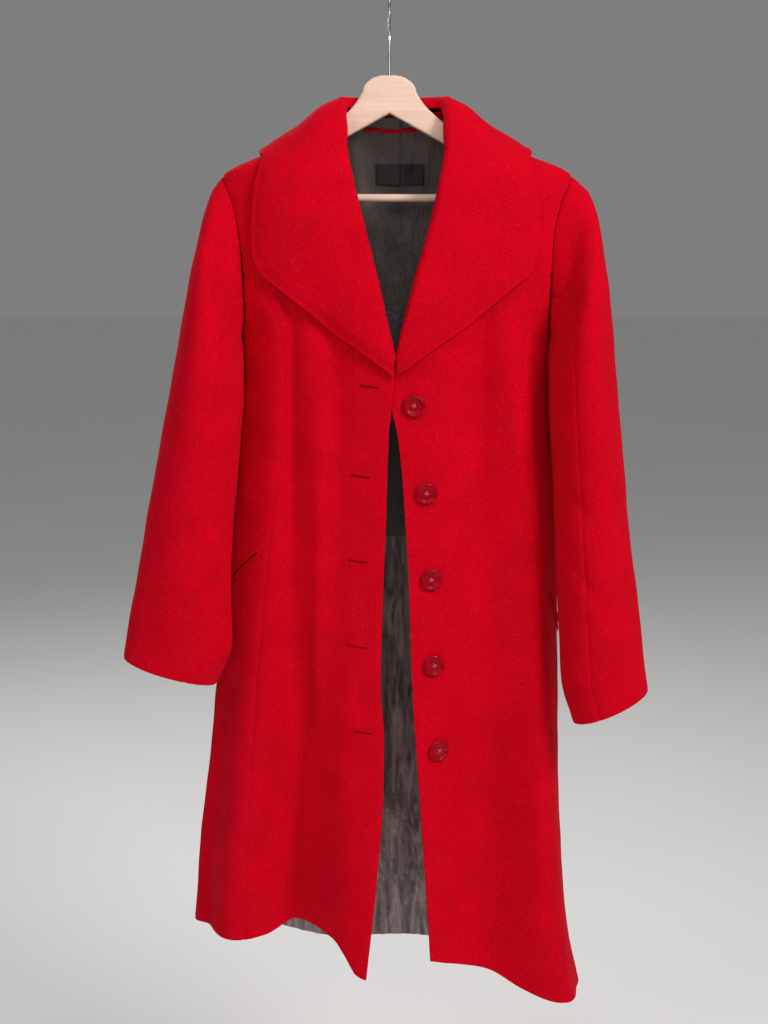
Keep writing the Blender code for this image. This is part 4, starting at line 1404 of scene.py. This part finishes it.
@dataclass
class Collar:
    """The wide collar: a stand inside the neck, a soft roll and a leaf that lies on the fronts."""

    finishes: Finishes
    roll_radius: float = 0.0052
    roll_rise: float = 0.0135
    leaf_lift: float = 0.0088
    stand_depth: float = 0.012
    neck_gap: float = 0.003
    lift: float = 0.0020
    stations: int = 110
    roll_cells: int = 10
    leaf_width: float = 0.10
    leaf_pitch: float = 0.0040
    leaf_lift_end: float = 0.62
    leaf_lift_fade: float = 0.45
    ripple: float = 0.00025
    edge_swell: float = 0.0008
    rim: float = 0.0011
    smoothings: int = 3
    probe: float = 0.1

    def roll(self, step: np.ndarray, side: Side) -> tuple[np.ndarray, np.ndarray]:
        """Angles and levels of the roll line."""
        level = table_curve(COLLAR, "roll_level", step)
        past = step >= SHOULDER_STEP
        front = FORM.angle(table_curve(FRONT_EDGES, side.word, level), level, side)
        neck = side.value * table_curve(COLLAR, "roll_angle", step)
        return np.where(past, neck, front), np.where(past, NECK_LEVEL, level)

    def edge(self, step: np.ndarray, side: Side) -> tuple[np.ndarray, np.ndarray]:
        """Angles and levels of the outer edge."""
        level = table_curve(COLLAR, "edge_level", step)
        front, back = COLLAR[:SHOULDER_STEP], COLLAR[SHOULDER_STEP:]
        last = front[-1].step
        distance = table_curve(front, "edge_across", np.minimum(step, last))
        angle = FORM.angle(distance, level, side)
        share = np.clip(step - last, 0.0, 1.0)
        angle = angle + (side.value * 90.0 - angle) * share
        past = step >= SHOULDER_STEP
        return np.where(past, side.value * table_curve(back, "edge_across", step), angle), level

    def half(self, side: Side) -> np.ndarray:
        """Cross-sections of one half, from the lapel point to the centre back.

        Args:
            side: Which half.

        Returns:
            An array of stations by points from the stand's foot to the outer edge.
        """
        tucked = side is Side.RIGHT
        step = np.linspace(0.0, COLLAR[-1].step, self.stations)
        around, level = self.roll(step, side)
        edge_around, edge_level = self.edge(step, side)
        point = FORM.points(around, level, tucked)
        normal = FORM.normals(around, np.minimum(level, NECK_LEVEL - 0.003), tucked)
        onward = around + (edge_around - around) * self.probe
        inward = point - FORM.points(onward, level + (edge_level - level) * self.probe, tucked)
        inward = unit(inward - normal * (inward * normal).sum(axis=-1, keepdims=True))
        share = ease((step - SHOULDER_STEP + 2.0) / 2.0)[:, None]
        ring = unit(normal * np.array((1.0, 1.0, 0.0)))
        normal = unit(normal + (ring - normal) * share)
        inward = unit(inward + (np.array((0.0, 0.0, 1.0)) - inward) * share)
        radius = self.roll_radius
        centre = point + inward * (self.roll_rise * share - radius) - normal * (WOOL / 2)
        depth = self.stand_depth * ease(step / 2.0 + 0.35)[:, None] * (1.0 - share)
        depth = depth + (self.roll_rise - radius - self.neck_gap) * share
        parts = [centre - normal * radius - inward * depth * k / 4 for k in (4, 3, 2, 1)]
        for k in range(self.roll_cells + 1):
            angle = math.pi * (1.0 - k / self.roll_cells)
            turned = normal * radius * math.cos(angle) + inward * radius * math.sin(angle)
            parts.append(centre + turned)
        bow = table_curve(COLLAR, "bow", step)
        rest = self.lift + WOOL
        start = radius - WOOL / 2
        for part in spread(self.leaf_width, self.leaf_pitch)[1:]:
            place = around + (edge_around - around) * part
            height = np.minimum(level + (edge_level - level) * part, NECK_LEVEL - 0.002)
            offset = start + (rest - start) * part + bow * math.sin(math.pi * part)
            surface = FORM.points(place, height, tucked)
            surface = surface + FORM.normals(place, height, tucked) * offset[:, None]
            lifted = ease(np.array((self.leaf_lift_end - part) / self.leaf_lift_fade))
            surface[:, 2] += self.leaf_lift * share[:, 0] * lifted
            parts.append(surface)
        return np.stack(parts, axis=1)

    def build(self) -> None:
        """Make the collar."""
        halves = np.concatenate((self.half(Side.LEFT), self.half(Side.RIGHT)[-2::-1]))
        points = halves.transpose(1, 0, 2)
        for _ in range(self.smoothings):
            beside = points[1:-1, :-2] + points[1:-1, 2:]
            points[1:-1, 1:-1] = (points[1:-1, 1:-1] * 2 + beside) / 4
        normals = grid_normals(points)
        push = creased(points, normals, COLLAR_CREASES) + rippled(points, self.ripple)
        push += Sewn(swell=self.edge_swell).push(points)
        points = points + normals * push[..., None]
        Cloth(
            "collar_cloth",
            points,
            self.finishes.wool,
            "red_wool",
            "collar",
            rim=self.rim,
            held="folded",
        ).build()


@dataclass
class Lining:
    """The satin back lining with its centre pleat, waist seam, bare label and hanging loop."""

    finishes: Finishes
    gap: float = 0.0028
    low_gap: float = 0.0030
    margin: float = 7.0
    pleat_x: float = 0.013
    pleat_depth: float = 0.0022
    pleat_fade: float = 0.022
    label_x: float = 0.0125
    label_size: tuple[float, float] = (0.058, 0.025)
    label_top: float = -0.192
    label_lift: float = 0.0016
    label_wave: float = 0.0004
    label_height: float = 0.0009
    label_thickness: float = 0.0005
    loop_x: float = 0.007
    loop_length: float = 0.072
    loop_width: float = 0.0042
    loop_top: float = -0.150
    loop_thickness: float = 0.0007
    loop_bow: float = 0.0022
    loop_height: float = 0.0006
    width: float = 0.44
    pitch: float = 0.0042
    row_pitch: float = 0.0048
    ripple: float = 0.0004
    crinkle: float = 0.00055
    seam_depth: float = 0.0012
    seam_width: float = 0.0022

    def surface(
        self, around: np.ndarray, level: np.ndarray, lift: float = 0.0
    ) -> tuple[np.ndarray, np.ndarray]:
        """Points on the lining's open side and the directions towards the wearer."""
        level = np.minimum(level, NECK_LEVEL - 0.004)
        normals = FORM.normals(around, level)
        gap = self.gap + self.low_gap * ease((WAIST_SEAM_LEVEL - level) / 0.30)
        inset = np.broadcast_to(WOOL + SATIN + lift + gap, normals.shape[:-1])
        return FORM.points(around, level) - normals * inset[..., None], -normals

    def folds(self, points: np.ndarray) -> np.ndarray:
        """How far wrinkles, the pleat and the waist seam stand out towards the wearer."""
        x, z = points[..., 0], points[..., 2]
        facing = np.zeros_like(points)
        facing[..., 1] = 1.0
        push = -creased(points, facing, LINING_CREASES)
        pleat = np.where(x < self.pleat_x, np.exp((x - self.pleat_x) / self.pleat_fade), 0.0)
        pleat = pleat * ease((z - WAIST_SEAM_LEVEL + 0.04) / 0.10) * self.pleat_depth
        seam = -self.seam_depth * np.exp(-(((z - WAIST_SEAM_LEVEL) / self.seam_width) ** 2))
        below = ease((WAIST_SEAM_LEVEL - z) / 0.10)
        crinkle = self.crinkle * below * (
            np.sin(390.0 * x + 60.0 * z + 3.0 * np.sin(70.0 * z))
            + np.sin(210.0 * z + 160.0 * x + 2.0 * np.sin(120.0 * x))
        )
        return push + pleat + seam + crinkle + rippled(points, self.ripple)

    def label(self) -> bpy.types.Object:
        """The bare label, whose lower edge lifts a little between its sewn corners."""
        width, height = self.label_size
        across = np.linspace(-width / 2, width / 2, 40)
        down = np.linspace(0.0, height, 20)
        v, u = np.meshgrid(down, across, indexing="ij")
        level = self.label_top - v
        around = FORM.angle(self.label_x - CENTRE_X + u, level, Side.RIGHT, back=True)
        points, normals = self.surface(around, level, self.label_height)
        lift = self.label_lift * (v / height) ** 2 * np.sin(math.pi * (u / width + 0.5)) ** 2
        lift = lift + self.label_wave * np.sin(95.0 * u + 60.0 * v)
        points = points + normals * lift[..., None] + normals * self.folds(points)[..., None]
        return Cloth(
            "label_tape",
            points,
            self.finishes.tape,
            "label_tape",
            "label",
            thickness=self.label_thickness,
            rim=0.0,
            held="laid",
            rests_on=("back_lining_cloth",),
        ).build()

    def loop(self) -> bpy.types.Object:
        """The hanging loop: a narrow folded strip sewn down at both ends."""
        u, v = np.linspace(-0.5, 0.5, 50), np.linspace(0.0, math.tau, 13)
        across, turn = np.meshgrid(u, v, indexing="xy")
        level = self.loop_top - 0.0022 - 0.0020 * np.cos(math.pi * across)
        distance = self.loop_x - CENTRE_X + across * self.loop_length
        around = FORM.angle(distance, level, Side.RIGHT, back=True)
        points, normals = self.surface(around, level, self.loop_height)
        bow = self.loop_bow * np.cos(math.pi * across) ** 2
        thick = self.loop_thickness * (1.0 + np.cos(turn))
        points = points + normals * (bow + thick)[..., None]
        points[..., 2] -= self.loop_width / 2 * np.sin(turn)
        shape = cloth_mesh(points)
        bmesh.ops.remove_doubles(shape, verts=shape.verts[:], dist=1e-6)
        rims = [edge for edge in shape.edges if edge.is_boundary]
        bmesh.ops.holes_fill(shape, edges=rims, sides=0)
        bmesh.ops.recalc_face_normals(shape, faces=shape.faces[:])
        made = add_piece("hanging_loop_strip", shape, self.finishes.wool)
        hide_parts("hanging_loop")
        return made

    def build(self) -> None:
        """Make the lining and what is sewn on it."""
        label = self.label()
        loop = self.loop()
        levels = levels_from(NECK_LEVEL, self.row_pitch)
        low = FORM.armhole(levels, Side.RIGHT, back=True) + self.margin
        high = FORM.armhole(levels, Side.LEFT, back=True) + 360.0 - self.margin
        around, level = coat_grid(levels, low, high, spread(self.width, self.pitch))
        points, normals = self.surface(around, level)
        points = points + normals * self.folds(points)[..., None]
        Cloth(
            "back_lining_cloth",
            points[:, ::-1],
            self.finishes.satin,
            "black_satin",
            "back_lining",
            thickness=SATIN,
            rim=0.0,
            rests_on=("back_left_cloth", "back_right_cloth"),
        ).build([label, loop])


@dataclass
class Pocket:
    """A slanted pocket: two narrow padded lips with the opening between them laid as a strip of
    painted shade.
    """

    side: Side
    start: tuple[float, float]
    end: tuple[float, float]
    finishes: Finishes
    height: float = 0.015
    lip: float = 0.38
    crown: float = 0.0014
    thickness: float = 0.0006
    lift: float = 0.0007
    slit_lift: float = 0.0009

    def lay(self, along: np.ndarray, across: np.ndarray, lift: np.ndarray) -> np.ndarray:
        """Points of the pocket above the wool.

        Args:
            along: Shares of its length from the inner end.
            across: Shares of its height from the top.
            lift: Heights above the wool.

        Returns:
            The points, from left to right.
        """
        around = self.start[0] + (self.end[0] - self.start[0]) * along
        level = self.start[1] + (self.end[1] - self.start[1]) * along
        points = on_wool(around, level - self.height * (across - 0.5), lift)
        return points[:, ::-1] if self.side is Side.LEFT else points

    def build(self) -> None:
        """Make the lips in place of the CAD welt, and between them the slit as a strip of painted
        shade.
        """
        u, v = np.linspace(0.0, 1.0, 60), np.linspace(0.0, 1.0, 31)
        along, across = np.meshgrid(u, v, indexing="xy")
        upper = np.clip(across / self.lip, 0.0, 1.0)
        lower = np.clip((1.0 - across) / self.lip, 0.0, 1.0)
        crown = np.sin(math.pi * upper) ** 0.6 + np.sin(math.pi * lower) ** 0.6
        ends = np.minimum(1.0, np.minimum(along, 1.0 - along) / 0.03) ** 0.5
        points = self.lay(along, across, self.lift + self.crown * crown * ends)
        name = f"pocket_welt_{self.side.word}"
        cloth = Cloth(
            f"{name}_lips",
            points,
            self.finishes.wool,
            "red_wool",
            name,
            thickness=self.thickness,
            rim=0.0,
            held="folded",
            rests_on=(f"side_front_{self.side.word}_cloth",),
        )
        # The slit between the lips is a dark strip of painted shade.
        u, v = np.linspace(0.03, 0.97, 50), np.linspace(0.41, 0.59, 5)
        along, across = np.meshgrid(u, v, indexing="xy")
        inside = self.lay(along, across, np.full(along.shape, self.slit_lift))
        cloth.build([add_slit(f"{name}_slit", inside, self.finishes)])


@dataclass
class Button:
    """A four-hole button with a raised rim, sewn on with crossed thread."""

    number: int
    around: float
    level: float
    finishes: Finishes
    radius: float = 0.0127
    hole_radius: float = 0.0011
    hole_spread: float = 0.0030
    lift: float = 0.0009
    turn: float = 17.0
    strand_radius: float = 0.00022
    strand_gap: float = 0.00045
    strand_level: float = 0.0024

    def profile(self) -> list[tuple[float, float]]:
        """Half section from the middle of the face, over the rim, to the back."""
        radius = self.radius
        return [
            (0.0, 0.0027),
            (0.0045, 0.0026),
            (0.0072, 0.0024),
            (0.0086, 0.0025),
            (0.0094, 0.0031),
            (0.0100, 0.0039),
            (0.0107, 0.0042),
            (0.0115, 0.0041),
            (radius - 0.0005, 0.0035),
            (radius, 0.0025),
            (radius - 0.0003, 0.0016),
            (radius - 0.0020, 0.0002),
            (radius - 0.0040, 0.0),
            (0.0, 0.0),
        ]

    def disc(self) -> bmesh.types.BMesh:
        """The button's body before its holes are drilled."""
        shape = bmesh.new()
        line = [shape.verts.new((x, 0.0, z)) for x, z in self.profile()]
        edges = [shape.edges.new(pair) for pair in zip(line, line[1:])]
        bmesh.ops.spin(
            shape,
            geom=line + edges,
            axis=(0, 0, 1),
            cent=(0, 0, 0),
            angle=math.tau,
            steps=56,
            use_merge=True,
        )
        weld(shape)
        return shape

    def place(self) -> Matrix:
        """Where the button lies on the front, turned a little as hand-sewn buttons are."""
        around, level = np.array(self.around), np.array(self.level)
        normal = Vector(FORM.normals(around, level, True))
        turn = normal.to_track_quat("Z", "Y").to_matrix().to_4x4()
        return (
            Matrix.Translation(on_wool(around, level, np.array(self.lift), True))
            @ turn
            @ Matrix.Rotation(math.radians(self.turn * self.number), 4, "Z")
        )

    def thread(self) -> bmesh.types.BMesh:
        """Crossed stitches through the holes, three strands each way."""
        shape = bmesh.new()
        for quarter in (0, 1):
            cross = Matrix.Rotation(math.radians(45 + 90 * quarter), 3, "Z")
            for strand in (-1, 0, 1):
                made = bmesh.ops.create_circle(shape, segments=8, radius=self.strand_radius)
                ring = made["verts"]
                bmesh.ops.translate(shape, verts=ring, vec=(self.hole_spread, 0.0, 0.0))
                edges = list({edge for vertex in ring for edge in vertex.link_edges})
                bmesh.ops.spin(
                    shape,
                    geom=ring + edges,
                    axis=(0, 1, 0),
                    cent=(0, 0, 0),
                    angle=-math.pi,
                    steps=14,
                )
                whole = [v for v in shape.verts if not v.tag]
                bmesh.ops.scale(shape, verts=whole, vec=(1.0, 1.0, 0.36 + 0.10 * quarter))
                beside = (0.0, strand * self.strand_gap, self.strand_level)
                bmesh.ops.translate(shape, verts=whole, vec=beside)
                bmesh.ops.rotate(shape, verts=whole, cent=(0, 0, 0), matrix=cross)
                for vertex in whole:
                    vertex.tag = True
        bmesh.ops.recalc_face_normals(shape, faces=shape.faces[:])
        return shape

    def build(self) -> None:
        """Make the button, drill its holes and sew it on."""
        place = self.place()
        body = add_piece(f"button_{self.number}_cast", self.disc(), self.finishes.button)
        shape = bmesh.new()
        for hole in range(4):
            angle = math.radians(45 + 90 * hole)
            x, y = math.cos(angle) * self.hole_spread, math.sin(angle) * self.hole_spread
            bmesh.ops.create_cone(
                shape,
                cap_ends=True,
                segments=16,
                radius1=self.hole_radius,
                radius2=self.hole_radius,
                depth=0.012,
                matrix=Matrix.Translation((x, y, 0.002)),
            )
        drill = mesh_object("drill", shape)
        holes = body.modifiers.new("holes", "BOOLEAN")
        holes.operation = "DIFFERENCE"
        holes.object = drill
        drilled = applied_mesh(body)
        body.modifiers.clear()
        body.data = drilled
        bpy.data.objects.remove(drill, do_unlink=True)
        drilled.transform(place)
        drilled.shade_smooth()
        drilled.set_sharp_from_angle(angle=math.radians(38))
        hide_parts(f"button_{self.number}")
        shape = self.thread()
        bmesh.ops.transform(shape, matrix=place, verts=shape.verts[:])
        thread = add_piece(f"button_{self.number}_thread", shape, self.finishes.pale_thread)


@dataclass
class Buttonhole:
    """A worked buttonhole: a slit of painted shade inside close stitches, with a short bar at its
    left end.
    """

    number: int
    x: float
    z: float
    gape: float
    finishes: Finishes
    length: float = 0.021
    cord: float = 0.00032
    bar: float = 0.0017
    tilt: float = -6.0
    stitches: int = 52
    base: float = 0.0002
    slit_lift: float = 0.00022
    slit_inset: float = 0.0006

    def outline(self, share: np.ndarray) -> np.ndarray:
        """Points of a long loop with round ends, in its own plane."""
        straight = self.length - self.gape
        arc = math.pi * self.gape / 2
        total = 2 * (straight + arc)
        run = share * total
        half = self.gape / 2
        first = np.stack((run - straight / 2, np.full_like(run, -half)), axis=-1)
        turn = (run - straight) / half - math.pi / 2
        second = np.stack((straight / 2 + half * np.cos(turn), half * np.sin(turn)), axis=-1)
        third = np.stack((straight / 2 - (run - straight - arc), np.full_like(run, half)), axis=-1)
        back = (run - 2 * straight - arc) / half + math.pi / 2
        fourth = np.stack((-straight / 2 + half * np.cos(back), half * np.sin(back)), axis=-1)
        zone = (run > straight).astype(int) + (run > straight + arc) + (run > 2 * straight + arc)
        return np.choose(zone[..., None], (first, second, third, fourth))

    def lay(self, flat: np.ndarray, lift: np.ndarray) -> np.ndarray:
        """Lay points of the buttonhole's own plane on the left front."""
        tilt = math.radians(self.tilt)
        x = self.x + flat[..., 0] * math.cos(tilt) - flat[..., 1] * math.sin(tilt)
        z = self.z + flat[..., 0] * math.sin(tilt) + flat[..., 1] * math.cos(tilt)
        around = FORM.angle(CENTRE_X - x, z, Side.LEFT)
        return on_wool(around, z + hem_drop(around, z), lift)

    def stitched(self, name: str, flat: np.ndarray, lift: np.ndarray) -> None:
        """Add a closed row of stitches."""
        shape = cloth_mesh(self.lay(flat, lift))
        weld(shape, 2e-5)
        made = add_piece(f"buttonhole_{self.number}_{name}", shape, self.finishes.thread)

    def build(self) -> None:
        """Make the stitched ring, its bar and the slit, a strip of painted shade."""
        share = np.linspace(0.0, 1.0, self.stitches * 4 + 1)
        turn = np.linspace(0.0, math.tau, 9)
        along, round_ = np.meshgrid(share, turn, indexing="xy")
        after, before = np.mod(along + 1e-4, 1.0), np.mod(along - 1e-4, 1.0)
        ahead = unit(self.outline(after) - self.outline(before))
        outward = np.stack((ahead[..., 1], -ahead[..., 0]), axis=-1)
        cord = self.cord * (1.0 + 0.22 * np.sin(math.tau * self.stitches * along))
        flat = self.outline(along) + outward * (cord * 1.3 * np.cos(round_))[..., None]
        self.stitched("stitches", flat, self.base + cord * (0.4 + np.sin(round_)))
        along, round_ = np.meshgrid(np.linspace(-1.0, 1.0, 24), turn, indexing="xy")
        thick = self.cord * 1.2 * (1.0 + 0.25 * np.cos(math.tau * 6.0 * along))
        flat = np.stack((-self.length / 2 + thick * np.cos(round_), self.bar * along), axis=-1)
        self.stitched("bar", flat, self.base + thick * (0.4 + np.sin(round_)))
        # The slit is a narrow dark strip of painted shade.
        u, v = np.meshgrid(np.linspace(-1, 1, 30), np.linspace(1, -1, 5), indexing="xy")
        narrowing = v * self.gape * 0.42 * np.sqrt(1.02 - u**2)
        flat = np.stack((u * (self.length / 2 - self.slit_inset), narrowing), axis=-1)
        inside = self.lay(flat, np.full(u.shape, self.slit_lift))
        add_slit(f"buttonhole_{self.number}_slit", inside, self.finishes)


@dataclass
class Hanger:
    """The wooden hanger with its trouser bar and wire hook."""

    finishes: Finishes
    thickness: float = 0.012
    edge: float = 0.0028
    wood_top: float = -0.098
    apex: float = -0.140
    bar_radius: float = 0.0045
    bar_level: float = -0.2343
    bar_half: float = 0.168
    wire_radius: float = 0.0017
    hook_radius: float = 0.020
    stem_foot: float = -0.118
    seats: tuple[tuple[float, float], ...] = ((0.095, -0.1646), (0.118, -0.1770), (0.141, -0.1885))

    def outline(self) -> list[tuple[float, float, bool]]:
        """Half of the outline, from the crown to the apex, and whether each point is a corner."""
        level = self.bar_level
        return [
            (0.000, self.wood_top, False),
            (0.011, -0.0985, False),
            (0.0205, -0.1022, False),
            (0.0285, -0.1095, False),
            (0.0315, -0.1175, False),
            (0.0365, -0.1258, False),
            (0.0435, -0.1342, False),
            (0.0530, -0.1425, False),
            (0.0640, -0.1510, False),
            *((x, z, False) for x, z in self.seats),
            (0.166, -0.2050, False),
            (0.178, -0.2170, False),
            (0.180, -0.2240, False),
            (0.179, level + 0.001, False),
            (0.173, level - 0.008, False),
            (0.163, level - 0.009, False),
            (0.135, -0.2180, False),
            (0.100, -0.1940, True),
            (0.000, self.apex, True),
        ]

    def wood(self) -> bpy.types.Object:
        """The flat wooden body with rounded edges."""
        half = self.outline()
        whole = half + [(-x, z, corner) for x, z, corner in half[-2:0:-1]]
        curve = bezier_curve(
            "hanger_wood",
            [(x, z, 0.0, "VECTOR" if corner else "AUTO") for x, z, corner in whole],
            dimensions="2D",
            fill_mode="BOTH",
            resolution_u=6,
            extrude=self.thickness / 2 - self.edge,
            bevel_depth=self.edge,
            bevel_resolution=4,
            offset=-self.edge,
        )
        curve.splines[0].use_cyclic_u = True
        source = bpy.data.objects.new("hanger_wood_curve", curve)
        bpy.context.scene.collection.objects.link(source)
        mesh = applied_mesh(source)
        bpy.data.objects.remove(source, do_unlink=True)
        mesh.transform(Matrix.Rotation(math.radians(90), 4, "X"))
        shape = bmesh.new()
        shape.from_mesh(mesh)
        weld(shape)
        made = add_piece("hanger_wood", shape, self.finishes.wood)
        made.data.set_sharp_from_angle(angle=math.radians(30))
        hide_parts("hanger_body")
        return made

    def bar(self) -> bpy.types.Object:
        """The round bar for trousers."""
        shape = bmesh.new()
        bmesh.ops.create_cone(
            shape,
            cap_ends=True,
            segments=32,
            radius1=self.bar_radius,
            radius2=self.bar_radius,
            depth=self.bar_half * 2,
        )
        caps = [face for face in shape.faces if len(face.verts) > 4]
        rims = list({edge for face in caps for edge in face.edges})
        bmesh.ops.bevel(
            shape, geom=rims, offset=0.0006, segments=3, profile=0.5, affect="EDGES", material=-1
        )
        lie = Matrix.Rotation(math.radians(90), 4, "Y")
        place = Matrix.Translation((0.0, 0.0, self.bar_level)) @ lie
        bmesh.ops.transform(shape, matrix=place, verts=shape.verts[:])
        made = add_piece("hanger_trouser_bar", shape, self.finishes.wood)
        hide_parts("hanger_bar")
        return made

    def hook(self) -> bpy.types.Object:
        """The bent wire, whose inner top is the origin."""
        radius = self.hook_radius + self.wire_radius
        route = [(0.0, self.stem_foot), (0.0, -0.098), (0.0, -0.078), (0.0, -0.064)]
        route += [(0.0012, -0.0545), (0.0062, -0.0465)]
        for degrees in range(-50, 211, 10):
            angle = math.radians(degrees)
            level = -self.hook_radius + radius * math.sin(angle)
            route.append((radius * math.cos(angle), level))
        curve = bezier_curve(
            "hanger_hook_wire",
            [(0.0, y, z, "AUTO") for y, z in route],
            dimensions="3D",
            bevel_depth=self.wire_radius,
            bevel_resolution=5,
            use_fill_caps=True,
            resolution_u=3,
        )
        curve.materials.append(self.finishes.wire)
        made = bpy.data.objects.new("hanger_hook_wire", curve)
        bpy.context.scene.collection.objects.link(made)
        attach(made, BODY)
        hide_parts("hanger_hook")
        return made

    def build(self) -> None:
        """Make the three parts of the hanger."""
        for made in (self.wood(), self.bar(), self.hook()):
            LOG.info("%s", made.name)


class Lamp(NamedTuple):
    """A square soft light aimed at the middle of the coat."""

    name: str
    place: Triple
    size: float
    power: float
    tint: Triple = (1.0, 1.0, 1.0)


LAMPS = (
    Lamp("key", (1.7, -1.8, 1.3), 0.9, 58.0, (1.0, 0.98, 0.96)),
    Lamp("fill_left", (-1.7, -1.8, 1.2), 0.9, 11.0),
    Lamp("fill_front", (0.0, -2.9, 0.6), 0.9, 12.0),
    Lamp("fill_top", (0.0, -1.2, 2.2), 0.9, 8.0),
    Lamp("rim", (-0.8, 2.0, 1.2), 1.4, 34.0),
)


@dataclass(frozen=True)
class Studio:
    """The pale floor, the soft lights and the camera."""

    floor_z: float = -1.62
    middle: Triple = (0.0, 0.0, -0.6)
    world_tone: float = 0.84
    world_strength: float = 0.25
    sensor: float = 36.0
    focal: float = 51.26
    camera_distance: float = 1.75
    camera_pitch: float = 10.0
    aim: Triple = (-0.0062, 0.0, -0.603)

    def floor(self) -> None:
        """A wide, flat, pale floor."""
        shape = bmesh.new()
        bmesh.ops.create_grid(shape, x_segments=4, y_segments=4, size=30.0)
        bmesh.ops.translate(shape, verts=shape.verts[:], vec=(0.0, 0.0, self.floor_z))
        made = mesh_object("studio_floor", shape)
        made.data.materials.append(PaleFloor().make())

    def light(self, lamp: Lamp) -> None:
        """Hang one light."""
        data = bpy.data.lights.new(lamp.name, "AREA")
        data.size = lamp.size
        data.energy = lamp.power
        data.color = lamp.tint
        made = bpy.data.objects.new(lamp.name, data)
        made.location = lamp.place
        aim = Vector(self.middle) - Vector(lamp.place)
        made.rotation_euler = aim.to_track_quat("-Z", "Y").to_euler()
        bpy.context.scene.collection.objects.link(made)

    def build(self) -> None:
        """Set the floor, world, lights and camera."""
        self.floor()
        world = bpy.data.worlds.new("studio")
        world.use_nodes = True
        background = world.node_tree.nodes["Background"]
        background.inputs["Color"].default_value = (*[self.world_tone] * 3, 1.0)
        background.inputs["Strength"].default_value = self.world_strength
        bpy.context.scene.world = world
        bpy.context.scene.view_settings.view_transform = "Standard"
        for lamp in LAMPS:
            self.light(lamp)
        data = bpy.data.cameras.new("camera")
        data.lens = self.focal
        data.sensor_width = self.sensor
        camera = bpy.data.objects.new("camera", data)
        pitch = math.radians(self.camera_pitch)
        camera.location = (
            self.aim[0],
            self.aim[1] - self.camera_distance * math.cos(pitch),
            self.aim[2] + self.camera_distance * math.sin(pitch),
        )
        camera.rotation_euler = (math.radians(90.0) - pitch, 0.0, 0.0)
        bpy.context.scene.collection.objects.link(camera)
        bpy.context.scene.camera = camera


BUTTON_COUNT = 5
BUTTON_TOP = -0.469
BUTTON_PITCH = 0.1015
BUTTON_INSET = 0.026
BUTTONHOLES = (
    (-0.023, -0.447, 0.0013),
    (-0.033, -0.551, 0.0013),
    (-0.037, -0.651, 0.0007),
    (-0.037, -0.752, 0.0006),
    (-0.030, -0.854, 0.0008),
)
LEFT_WELT = ((-53.0, -0.648), (-84.0, -0.704))
RIGHT_WELT = ((64.0, -0.676), (86.0, -0.716))


def main() -> None:
    """Dress every part of the coat and its hanger."""
    logging.basicConfig(level=logging.INFO, format="%(name)s %(message)s")
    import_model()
    Studio().build()
    finishes = Finishes.mix_all()
    Hanger(finishes).build()
    Shell(finishes).build()
    Sleeve(Side.LEFT, LEFT_SLEEVE, LEFT_SLEEVE_CREASES, finishes).build()
    Sleeve(Side.RIGHT, RIGHT_SLEEVE, RIGHT_SLEEVE_CREASES, finishes).build()
    Collar(finishes).build()
    Lining(finishes).build()
    Pocket(Side.LEFT, *LEFT_WELT, finishes).build()
    Pocket(Side.RIGHT, *RIGHT_WELT, finishes).build()
    for k in range(BUTTON_COUNT):
        level = np.array(BUTTON_TOP - k * BUTTON_PITCH)
        distance = table_curve(FRONT_EDGES, "right", level) + BUTTON_INSET
        around = FORM.angle(distance, level, Side.RIGHT)
        Button(k + 1, float(around), float(level), finishes).build()
    for k, (x, z, gape) in enumerate(BUTTONHOLES):
        Buttonhole(k + 1, x, z, gape, finishes).build()


if __name__ == "__main__":
    main()
